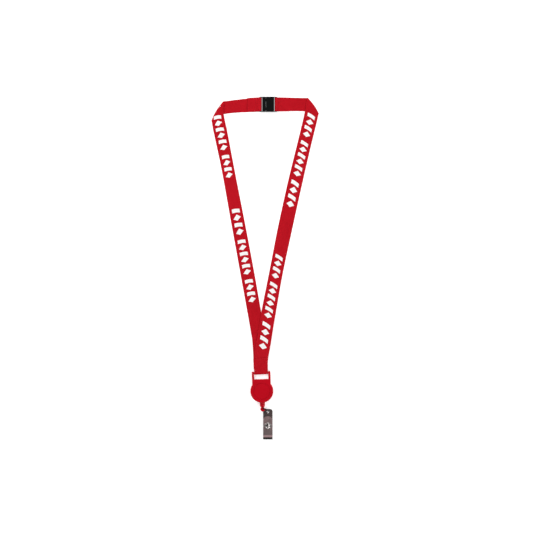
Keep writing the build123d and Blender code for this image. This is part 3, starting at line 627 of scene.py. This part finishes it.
def bar_turn(ribbon, bar_x, side, tail_rises):
    """The webbing round a bar, from its tail to its long side or back.

    side is -1 where the webbing lies left of its bar. tail_rises is True where the tail lies on top.
    """
    upper = TABLE_Z + PITCH
    leave_x = BAR_LOOP_RADIUS * math.sin(LOOP_EXIT)
    leave_z = BAR_HEIGHT + BAR_LOOP_RADIUS * math.cos(LOOP_EXIT)
    land_x = leave_x + (leave_z - upper) / math.tan(LOOP_EXIT)
    profile = [(land_x + LANDING, upper)]
    for share in (0.0, 0.25, 0.5, 0.75):
        profile.append((land_x + (leave_x - land_x) * share, upper + (leave_z - upper) * share))
    turn = math.pi + LOOP_EXIT
    for i in range(BAR_TURN_STEPS + 1):
        angle = turn * i / BAR_TURN_STEPS - LOOP_EXIT
        profile.append((-BAR_LOOP_RADIUS * math.sin(angle), BAR_HEIGHT + BAR_LOOP_RADIUS * math.cos(angle)))
    if not tail_rises:
        profile.reverse()
    for reach, z in profile:
        x = bar_x + side * reach
        ribbon.rows.append([Vector((x, BUCKLE_Y + BAR_HALF_WIDTH * (1 - 2 * v), z)) for v in ribbon.shares])


def top_bulge(outward, bulge):
    """How far a top section's rows bow, more and more towards the fold."""
    return lambda share: outward * bulge * ease(share, 0.5, 1)


def leg_bulge(outward, bulge):
    """How far a leg's rows bow, from the fold down to where they are straight."""
    return lambda share: outward * bulge * ease(share, 0.1, 0)


def make_left_ribbon():
    """Tail on top, round the plug's bar, along the top, folded at the corner, and down the left leg."""
    ribbon = Ribbon(LEFT_WIDTH)
    uneven = lie(seed=4.1)
    tail_end = PLUG_BAR_X - TAIL_REACH
    ribbon.add_stretch(
        plan_line((tail_end, 238.1), (PLUG_BAR_X - BAR_CLEAR, 239.0)),
        plan_line((tail_end, 218.9), (PLUG_BAR_X - BAR_CLEAR, 219.4)),
        lambda point, v: TABLE_Z + PITCH + TAIL_LIFT,
        TAIL_ROWS,
    )
    bar_turn(ribbon, PLUG_BAR_X, -1, True)

    def top_height(point, v):
        past_tail = ease(point.x, -27.0, -32.0)
        before_fold = ease(point.x, -57.0, -50.0)
        return TABLE_Z + past_tail * before_fold * uneven(point, v)

    bulge = top_bulge(LEFT_OUTWARD, LEFT_FOLD_BULGE)
    ribbon.add_stretch(LEFT_TOP_UPPER, LEFT_TOP_LOWER, top_height, TOP_ROWS, bulge)
    ribbon.add_roll(plan_line(LEFT_FOLD_TOP, LEFT_FOLD_END), LEFT_FOLD_BULGE, LEFT_OUTWARD)

    def leg_height(point, v):
        at_fold = ease(point.y, 172.0, 204.0)
        at_join = ease(point.y, -60.0, -93.0)
        free = (1 - at_fold) * (1 - at_join)
        return TABLE_Z + PITCH * max(at_fold, at_join) + free * uneven(point, v)

    bulge = leg_bulge(LEFT_OUTWARD, LEFT_FOLD_BULGE)
    ribbon.add_stretch(LEFT_LEG_INNER, LEFT_LEG_OUTER, leg_height, LEG_ROWS, bulge)
    ribbon.finish(turned=True)
    return ribbon


def make_right_ribbon():
    """Tail underneath, round the socket's bar, along the top, folded at the corner, down the right leg."""
    ribbon = Ribbon(RIGHT_WIDTH)
    uneven = lie(seed=9.3)
    tail_end = SOCKET_BAR_X + TAIL_REACH
    ribbon.add_stretch(
        plan_line((tail_end, 238.7), (SOCKET_BAR_X, 239.0)),
        plan_line((tail_end, 219.6), (SOCKET_BAR_X, 219.4)),
        lambda point, v: TABLE_Z,
        TAIL_ROWS,
    )
    bar_turn(ribbon, SOCKET_BAR_X, 1, False)

    def top_height(point, v):
        over_tail = ease(point.x, 46.0, 34.5)
        before_fold = ease(point.x, 58.0, 50.0)
        return TABLE_Z + PITCH * over_tail + (1 - over_tail) * before_fold * uneven(point, v)

    bulge = top_bulge(RIGHT_OUTWARD, RIGHT_FOLD_BULGE)
    ribbon.add_stretch(RIGHT_TOP_UPPER, RIGHT_TOP_LOWER, top_height, TOP_ROWS, bulge)
    ribbon.add_roll(plan_line(RIGHT_FOLD_TOP, RIGHT_FOLD_END), RIGHT_FOLD_BULGE, RIGHT_OUTWARD)

    def leg_height(point, v):
        at_fold = ease(point.y, 180.0, 214.0)
        over_left = ease(point.y, -15.0, -56.0)
        over_both = ease(point.y, -56.0, -93.0)
        free = (1 - at_fold) * (1 - over_left)
        return TABLE_Z + PITCH * (at_fold + over_left + over_both) + free * uneven(point, v)

    bulge = leg_bulge(RIGHT_OUTWARD, RIGHT_FOLD_BULGE)
    ribbon.add_stretch(RIGHT_LEG_INNER, RIGHT_LEG_OUTER, leg_height, LEG_ROWS, bulge)
    ribbon.finish()
    return ribbon


def joint(name):
    """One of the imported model's joints."""
    return next(j for j in frame["joints"] if j["name"] == name)


# ---------------- slot loop on the reel's bar

REEL_RIGHT = Vector(joint("reel_swing")["axis"]).normalized()
REEL_UP = -Vector(joint("cord_pull")["axis"]).normalized()
REEL_CENTRE = Vector(joint("spool_spin")["pos_m"]) / MM
REEL_BAR_Y = (Vector(joint("reel_swing")["pos_m"]) / MM - REEL_CENTRE).dot(REEL_UP)
LOOP_HALF_WIDTH = 9.7
LOOP_SEAM_HALF_WIDTH = 10.15
LOOP_FRONT_END = 45.8
LOOP_REAR_END = 74.5
LOOP_FRONT_STEPS = 14
LOOP_TURN_STEPS = 16
LOOP_REAR_STEPS = 25
LOOP_SWELL = 0.12  # how far the front layer bows up between the seam and the bar


def at_reel(x, y, z):
    """A point from the reel's own plan coordinates and a height above the table, in millimetres."""
    centre = Vector((REEL_CENTRE.x, REEL_CENTRE.y, 0))
    return centre + REEL_RIGHT * x + REEL_UP * y + Vector((0, 0, z))


def make_loop_ribbon():
    """A short length from the seam down to the bar, round it, and up behind both straps."""
    ribbon = Ribbon(2 * LOOP_SEAM_HALF_WIDTH)
    front = BAR_HEIGHT + BAR_LOOP_RADIUS
    profile = []
    for i in range(LOOP_FRONT_STEPS + 1):
        share = i / LOOP_FRONT_STEPS
        swell = LOOP_SWELL * math.sin(math.pi * share)
        profile.append((LOOP_FRONT_END + (REEL_BAR_Y + LANDING - LOOP_FRONT_END) * share, front + swell))
    for i in range(LOOP_TURN_STEPS + 1):
        angle = math.pi * i / LOOP_TURN_STEPS
        y = REEL_BAR_Y - BAR_LOOP_RADIUS * math.sin(angle)
        profile.append((y, BAR_HEIGHT + BAR_LOOP_RADIUS * math.cos(angle)))
    for i in range(1, LOOP_REAR_STEPS + 1):
        profile.append((REEL_BAR_Y + (LOOP_REAR_END - REEL_BAR_Y) * i / LOOP_REAR_STEPS, TABLE_Z))
    for y, z in profile:
        wide = ease(y, REEL_BAR_Y + 2, LOOP_FRONT_END)
        half = LOOP_HALF_WIDTH + (LOOP_SEAM_HALF_WIDTH - LOOP_HALF_WIDTH) * wide * (z > BAR_HEIGHT)
        ribbon.add(ribbon.row(at_reel(-half, y, z), at_reel(half, y, z)))
    ribbon.finish(turned=True)
    return ribbon


# ---------------- white print

MARK_HEIGHT = 11.0
MARK_STEPS = 8  # quads along and across a mark
BAR_LEAN = 0.16  # these three are shares of the step from mark to mark
BAR_HALF_LENGTH = 0.27
DIAMOND_HALF_LENGTH = 0.44
GROUPS = ((4, 40.0), (6, 52.0), (4, 35.0))  # marks in each group, and the group's length
GROUP_SPACE = 4.4
INK_LIFT = 0.035
INK_SINK = 0.02
TOP_ROW = 60  # a row of the top section, past the tail and the bar

# Each block of print: the Y at which it starts to show, and how much further up the webbing it begins.
LEFT_BLOCKS = ((217.0, 45.0), (86.4, 0.0))
RIGHT_BLOCKS = ((217.3, 0.0), (19.9, 0.0))


def mark_corners(kind, pitch):
    """A solid mark as four corners round its middle, in millimetres along and across the webbing."""
    half = MARK_HEIGHT / 2
    if kind == "bar":
        lean, reach = BAR_LEAN * pitch, BAR_HALF_LENGTH * pitch
        return ((-lean - reach, -half), (-lean + reach, -half), (lean + reach, half), (lean - reach, half))
    reach = DIAMOND_HALF_LENGTH * pitch
    return ((0, -half), (reach, 0), (0, half), (-reach, 0))


def add_mark(ribbon, middle, corners, points, faces, strip):
    """A thin solid that follows the face of the webbing."""
    start = len(points)
    for lift in (INK_LIFT, -INK_SINK):
        for i in range(MARK_STEPS + 1):
            for j in range(MARK_STEPS + 1):
                s, t = i / MARK_STEPS, j / MARK_STEPS
                low = [a + (b - a) * s for a, b in zip(corners[0], corners[1])]
                high = [a + (b - a) * s for a, b in zip(corners[3], corners[2])]
                u = middle + low[0] + (high[0] - low[0]) * t
                v = 0.5 + (low[1] + (high[1] - low[1]) * t) / ribbon.width
                from_edge = min(v, 1 - v) * ribbon.width
                points.append(ribbon.at(u, v, half_thickness(from_edge) + lift) * MM)
                strip.append((u * MM, v * ribbon.width * MM))
    across = MARK_STEPS + 1
    under = across * across

    def corner(i, j):
        return start + i * across + j

    for i in range(MARK_STEPS):
        for j in range(MARK_STEPS):
            quad = (corner(i, j), corner(i + 1, j), corner(i + 1, j + 1), corner(i, j + 1))
            faces.append(quad)
            faces.append(tuple(k + under for k in reversed(quad)))
    ring = [corner(i, 0) for i in range(MARK_STEPS)] + [corner(MARK_STEPS, j) for j in range(MARK_STEPS)]
    ring += [corner(i, MARK_STEPS) for i in range(MARK_STEPS, 0, -1)]
    ring += [corner(0, j) for j in range(MARK_STEPS, 0, -1)]
    for a, b in zip(ring, ring[1:] + ring[:1]):
        faces.append((a, a + under, b + under, b))


def along_at(ribbon, y):
    """How far along the ribbon its middle line first comes below a given Y, past the top section."""
    middle = len(ribbon.shares) // 2
    row = next(i for i in range(TOP_ROW, len(ribbon.rows)) if ribbon.rows[i][middle].y < y)
    return ribbon.along[row][middle]


def make_print(name, ribbon, blocks, upward):
    """Blocks of generic marks in groups, in the other order where the print reads upwards."""
    points, faces, strip = [], [], []
    groups = GROUPS[::-1] if upward else GROUPS
    for start_y, hidden in blocks:
        place = along_at(ribbon, start_y) - hidden
        for number, length in groups:
            pitch = length / number
            for i in range(number):
                middle = place + pitch * (i + 0.5)
                kind = "bar" if i % 2 == 0 else "diamond"
                add_mark(ribbon, middle, mark_corners(kind, pitch), points, faces, strip)
            place += length + GROUP_SPACE
    piece = new_piece(name, points, faces, ink, False, strip)
    return piece


# ---------------- stitches

STITCH_LENGTH = 1.6
STITCH_PITCH = 2.2
STITCH_RINGS = 7
STITCH_SIDES = 8
STITCH_WANDER = 0.08
STITCH_ARCH = 0.17  # how far a stitch's middle stands above its ends
STITCH_SINK = 0.06
THREAD_RADIUS = 0.19
THREAD_TAPER = 0.85
THREAD_LEAST = 0.12
BUCKLE_SEAMS = (3.9, 7.2)  # distance of each stitch row from its bar
BUCKLE_SEAM_HALF = 9.2
JOIN_SEAMS = (1.8, 5.6)  # distance of each stitch row from the loop's front end
JOIN_SEAM_HALF = 9.5
UP = Vector((0, 0, 1))


def add_stitch(middle, direction, points, faces):
    """One arched, tapering stitch round its middle, in millimetres."""
    cross = direction.cross(UP).normalized()
    first = len(points)
    for k in range(STITCH_RINGS):
        s = 2 * k / (STITCH_RINGS - 1) - 1
        rise = STITCH_ARCH * (1 - s * s) - STITCH_SINK
        centre = middle + direction * (STITCH_LENGTH / 2 * s) + UP * rise
        radius = THREAD_RADIUS * math.sqrt(max(THREAD_LEAST, 1 - THREAD_TAPER * s * s))
        for m in range(STITCH_SIDES):
            angle = 2 * math.pi * m / STITCH_SIDES
            around = cross * (radius * math.cos(angle)) + UP * (radius * math.sin(angle))
            points.append((centre + around) * MM)
    add_tube_faces(faces, first, STITCH_RINGS - 1, STITCH_SIDES)


def make_stitches(name, rows, seed):
    """Rows of stitches on a flat layer. A row is its start and its end, in millimetres."""
    points, faces = [], []
    for row_number, (start, end) in enumerate(rows):
        direction = (end - start).normalized()
        cross = direction.cross(UP).normalized()
        count = int(round((end - start).length / STITCH_PITCH))
        for i in range(count):
            wander = noise.noise(Vector((i * 0.77, row_number * 3.1, seed)))
            middle = start + (end - start) * ((i + 0.5) / count) + cross * (STITCH_WANDER * wander)
            add_stitch(middle, direction, points, faces)
    piece = new_piece(name, points, faces, thread)
    return piece


def buckle_rows(bar_x, side):
    """Two stitch rows across a tail beside its bar."""
    height = TABLE_Z + PITCH + WEB_THICK / 2
    ends = (BUCKLE_Y - BUCKLE_SEAM_HALF, BUCKLE_Y + BUCKLE_SEAM_HALF)
    return [[Vector((bar_x + side * distance, y, height)) for y in ends] for distance in BUCKLE_SEAMS]


def join_rows():
    """Two stitch rows across the loop's front end."""
    height = BAR_HEIGHT + BAR_LOOP_RADIUS + WEB_THICK / 2
    ends = (-JOIN_SEAM_HALF, JOIN_SEAM_HALF)
    return [[at_reel(x, LOOP_FRONT_END - distance, height) for x in ends] for distance in JOIN_SEAMS]


# ---------------- snap strap

STRAP_NORMAL = Vector(joint("strap_swing")["axis"]).normalized()
STRAP_HOLE = Vector(joint("strap_swing")["pos_m"]) / MM
STRAP_RIGHT = Vector(joint("flap_open")["axis"]).normalized()
STRAP_UP = STRAP_NORMAL.cross(STRAP_RIGHT)
STRAP_HALF_WIDTH = 6.6
STRAP_HALF_THICK = 0.3
STRAP_EDGE = 0.08  # rounding of the cut edges
STRAP_TOP = 4.2
STRAP_CORNER = 3.2
FLAP_CORNER = 6.2
FOLD_Y = -37.0
FLAP_TOP = -5.6
SNAP_Y = -19.1
RING_HOLE = 1.7
SNAP_HOLE = 1.25
HOLE_SIDES = 28
CORNER_STEPS = 8
FOLD_STEPS = 20
STRIP_STEP = 2
FOLD_RADIUS = 1.2
BACK_LENGTH = STRAP_TOP - FOLD_Y
FOLD_LENGTH = math.pi * FOLD_RADIUS
STRAP_LENGTH = BACK_LENGTH + FOLD_LENGTH + FLAP_TOP - FOLD_Y


def rounded_end(y, corner, direction):
    """Points along a strap end with two round corners, left to right for direction 1."""
    points = []
    inset = STRAP_HALF_WIDTH - corner
    for side in (-1, 1):
        for i in range(CORNER_STEPS + 1):
            angle = math.pi / 2 * i / CORNER_STEPS
            angle = angle if side == -1 else math.pi / 2 - angle
            x = side * (inset + corner * math.cos(angle))
            points.append((x, y + direction * corner * (1 - math.sin(angle))))
    return points


def hole_points(centre_y, radius):
    """Points round a hole in the middle of the strip."""
    angles = [2 * math.pi * i / HOLE_SIDES for i in range(HOLE_SIDES)]
    return [(radius * math.cos(angle), centre_y + radius * math.sin(angle)) for angle in angles]


def folded(x, t, height):
    """A point of the flat strip, t from the back layer's top, on the folded strap."""
    angle = min(math.pi, max(0.0, (t - BACK_LENGTH) / FOLD_RADIUS))
    radius = FOLD_RADIUS + height
    if t <= BACK_LENGTH:
        y = STRAP_TOP - t
    elif t >= BACK_LENGTH + FOLD_LENGTH:
        y = FOLD_Y + t - BACK_LENGTH - FOLD_LENGTH
    else:
        y = FOLD_Y - radius * math.sin(angle)
    z = FOLD_RADIUS - radius * math.cos(angle)
    return STRAP_HOLE + STRAP_RIGHT * x + STRAP_UP * y + STRAP_NORMAL * z


def make_snap_strap():
    """One strip of vinyl, cut flat with its holes, then folded in half."""
    curve = bpy.data.curves.new("strip", "CURVE")
    curve.dimensions = "2D"
    curve.fill_mode = "BOTH"
    curve.extrude = STRAP_HALF_THICK - STRAP_EDGE
    curve.bevel_depth = STRAP_EDGE
    curve.bevel_resolution = 2
    curve.offset = -STRAP_EDGE
    flap_snap = BACK_LENGTH + FOLD_LENGTH + SNAP_Y - FOLD_Y
    outlines = [
        rounded_end(0, STRAP_CORNER, 1) + rounded_end(STRAP_LENGTH, FLAP_CORNER, -1)[::-1],
        hole_points(STRAP_TOP, RING_HOLE),
        hole_points(STRAP_TOP - SNAP_Y, SNAP_HOLE),
        hole_points(flap_snap, SNAP_HOLE),
    ]
    for outline in outlines:
        spline = curve.splines.new("POLY")
        spline.points.add(len(outline) - 1)
        for point, (x, y) in zip(spline.points, outline):
            point.co = (x, y, 0, 1)
        spline.use_cyclic_u = True
    holder = bpy.data.objects.new("strip", curve)
    mesh = bpy.data.meshes.new_from_object(holder)
    bpy.data.objects.remove(holder)
    work = bmesh.new()
    work.from_mesh(mesh)
    bpy.data.meshes.remove(mesh)
    bmesh.ops.remove_doubles(work, verts=work.verts, dist=1e-4)
    cuts = [BACK_LENGTH + FOLD_LENGTH * i / FOLD_STEPS for i in range(FOLD_STEPS + 1)]
    near_fold = (cuts[0] - 1, cuts[-1] + 1)
    flat_cuts = range(STRIP_STEP, int(STRAP_LENGTH), STRIP_STEP)
    cuts += [t for t in flat_cuts if not near_fold[0] < t < near_fold[1]]
    for t in cuts:
        bmesh.ops.bisect_plane(
            work, geom=work.verts[:] + work.edges[:] + work.faces[:], plane_co=(0, t, 0), plane_no=(0, 1, 0)
        )
    bmesh.ops.recalc_face_normals(work, faces=work.faces[:])
    points = [folded(*vertex.co) * MM for vertex in work.verts]
    strip = [(vertex.co.y * MM, vertex.co.x * MM) for vertex in work.verts]
    work.verts.index_update()
    faces = [tuple(vertex.index for vertex in face.verts) for face in work.faces]
    work.free()
    piece = new_piece("snap_strap", points, faces, vinyl, True, strip)
    return piece


# ---------------- pull cord

CORD_RADIUS = 0.4
CORD_TOP = -14.2
CORD_FOOT = -20.9
CORD_SPANS = 60
CORD_SIDES = 14
CORD_STRANDS = 4
STRAND_RELIEF = 0.03
STRAND_TWIST = 1.3  # radians from ring to ring


def make_pull_cord():
    """The visible stretch of cord, from the reel down to the cord end."""
    points, faces = [], []
    for i in range(CORD_SPANS + 1):
        y = CORD_TOP + (CORD_FOOT - CORD_TOP) * i / CORD_SPANS
        for k in range(CORD_SIDES):
            angle = 2 * math.pi * k / CORD_SIDES
            relief = STRAND_RELIEF * math.cos(CORD_STRANDS * angle + STRAND_TWIST * i)
            radius = CORD_RADIUS * (1 + relief)
            z = REEL_CENTRE.z + radius * math.sin(angle)
            points.append(at_reel(radius * math.cos(angle), y, z) * MM)
    add_tube_faces(faces, 0, CORD_SPANS, CORD_SIDES, clockwise=True)
    piece = new_piece("pull_cord", points, faces, cord)
    return piece


# ---------------- build

bpy.context.scene.view_settings.view_transform = "Standard"
make_camera()

fabric = webbing_finish()
thread = thread_finish()
ink = ink_finish()
vinyl = vinyl_finish()
cord = cord_finish()
glossy_red = moulded_finish(
    "glossy_red", RED_PLASTIC, RED_PLASTIC_DEEP, rough=0.30, grain=900.0, gloss=0.12, coat=0.05
)
satin_black = moulded_finish(
    "satin_black", BLACK_PLASTIC, BLACK_PLASTIC_DEEP, rough=0.38, grain=1400.0, gloss=0.16
)
white_nylon = moulded_finish(
    "white_nylon", WHITE_NYLON, WHITE_NYLON_DEEP, rough=0.45, grain=1100.0, gloss=0.5
)
finishes = {
    "webbing": fabric,
    "thread": thread,
    "black_plastic": satin_black,
    "red_plastic": glossy_red,
    "white_plastic": white_nylon,
    "cord": cord,
    "spring_steel": metal_finish("spring_steel", SPRING_STEEL, rough=0.25, brushed=8.0),
    "dark_metal": metal_finish("black_nickel", BLACK_NICKEL, rough=0.22),
    "vinyl": vinyl,
    "snap_metal": metal_finish("plated_snap", SNAP_PLATING, rough=0.22, dents=0.0024),
}
for part in frame["record"]["subparts"]:
    node = frame["nodes"][part["node"]]
    if not node.data.materials:
        node.data.materials.append(None)
    for material_slot in node.material_slots:
        material_slot.material = finishes[part["material_slot"]]

left_ribbon = make_left_ribbon()
right_ribbon = make_right_ribbon()
loop_ribbon = make_loop_ribbon()
left_webbing = left_ribbon.piece("left_webbing", fabric)
right_webbing = right_ribbon.piece("right_webbing", fabric)
loop_webbing = loop_ribbon.piece("loop_webbing", fabric)

left_print = make_print("left_print", left_ribbon, LEFT_BLOCKS, upward=False)
right_print = make_print("right_print", right_ribbon, RIGHT_BLOCKS, upward=True)
left_stitches = make_stitches("left_stitches", buckle_rows(PLUG_BAR_X, -1), seed=1.0)
right_stitches = make_stitches("right_stitches", buckle_rows(SOCKET_BAR_X, 1), seed=2.0)
seam_stitches = make_stitches("seam_stitches", join_rows(), seed=3.0)
snap_strap = make_snap_strap()
pull_cord = make_pull_cord()

# ---------------- floor and light

FLOOR_REACH = 4.0  # metres from the middle to each side
FLOOR_GREY = (0.76, 0.76, 0.76, 1)
FLOOR_PALE = (0.79, 0.79, 0.79, 1)
FLOOR_GLOW = 0.58
SKY_HEIGHTS = (0.12, 0.50)  # where the world's light changes, from 0 at the horizon to 1 overhead
SKY_LIGHT = (1.0, 0.12)  # its strength below and above that change
LAMPS = (  # name, place and width in metres, and watts
    ("key", (-1.05, 0.95, 1.25), 0.9, 24.0),
    ("fill", (1.1, -0.8, 1.3), 1.1, 16.5),
    ("back", (0.8, 1.2, 1.1), 0.9, 8.0),
)


def make_floor():
    """A pale seamless floor that glows a little, so that it stays white round the lanyard."""
    finish = Finish("floor", Roughness=0.9, Specular_IOR_Level=0.1)
    cloud = finish.noise(finish.place(), scale=3.0, detail=2.0)
    finish.use("Base Color", finish.mix(cloud, FLOOR_GREY, FLOOR_PALE))
    finish.use("Emission Color", (1, 1, 1, 1))
    finish.use("Emission Strength", FLOOR_GLOW)
    corners = [(x * FLOOR_REACH, y * FLOOR_REACH, 0) for x, y in ((-1, -1), (1, -1), (1, 1), (-1, 1))]
    floor = new_piece("floor", corners, [(0, 1, 2, 3)], finish.material, smooth=False)


def make_light():
    """A world that is white near the horizon and dim overhead, and three soft lamps."""
    world = bpy.data.worlds.new("studio")
    world.use_nodes = True
    tree = world.node_tree
    direction = tree.nodes.new("ShaderNodeSeparateXYZ")
    tree.links.new(tree.nodes.new("ShaderNodeTexCoord").outputs["Generated"], direction.inputs[0])
    brightness = tree.nodes.new("ShaderNodeMapRange")
    brightness.interpolation_type = "SMOOTHSTEP"
    for socket, value in zip(brightness.inputs[1:], SKY_HEIGHTS + SKY_LIGHT):
        socket.default_value = value
    tree.links.new(direction.outputs[2], brightness.inputs[0])
    tree.nodes["Background"].inputs["Color"].default_value = (1, 1, 1, 1)
    tree.links.new(brightness.outputs[0], tree.nodes["Background"].inputs["Strength"])
    bpy.context.scene.world = world
    for name, place, width, power in LAMPS:
        data = bpy.data.lights.new(name, "AREA")
        data.shape = "SQUARE"
        data.size = width
        data.energy = power
        lamp = bpy.data.objects.new(name, data)
        lamp.location = place
        lamp.rotation_mode = "QUATERNION"
        lamp.rotation_quaternion = Vector(place).to_track_quat("Z", "Y")
        bpy.context.scene.collection.objects.link(lamp)


make_floor()
make_light()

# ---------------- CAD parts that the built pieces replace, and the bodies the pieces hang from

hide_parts("strap_left", "strap_left_top", "strap_left_end")
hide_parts("strap_right", "strap_right_top")
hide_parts("slot_loop")
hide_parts("left_end_stitching")
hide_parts("right_end_stitching")
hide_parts("join_stitching")
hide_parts("clip_back_strap", "clip_fold", "clip_front_flap")
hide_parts("cord_run")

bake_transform(left_webbing)
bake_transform(left_print)
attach(left_stitches, "left_half")
for piece in (right_webbing, right_print, right_stitches, loop_webbing, seam_stitches):
    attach(piece, "webbing")
at_reel(0, CORD_TOP - 0.3, REEL_CENTRE.z) * MM
at_reel(0, CORD_FOOT + 0.9, REEL_CENTRE.z) * MM
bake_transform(pull_cord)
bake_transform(snap_strap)

WEBBING_CUT = 0.020  # width of the webbing as it is woven, in metres
for webbing, ribbon, on_it in (
    (left_webbing, left_ribbon, [left_print, left_stitches]),
    (right_webbing, right_ribbon, [right_print, right_stitches]),
    (loop_webbing, loop_ribbon, [seam_stitches]),
):
    cut = (WEBBING_CUT, round(ribbon.length() * MM, 3))
    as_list(on_it)
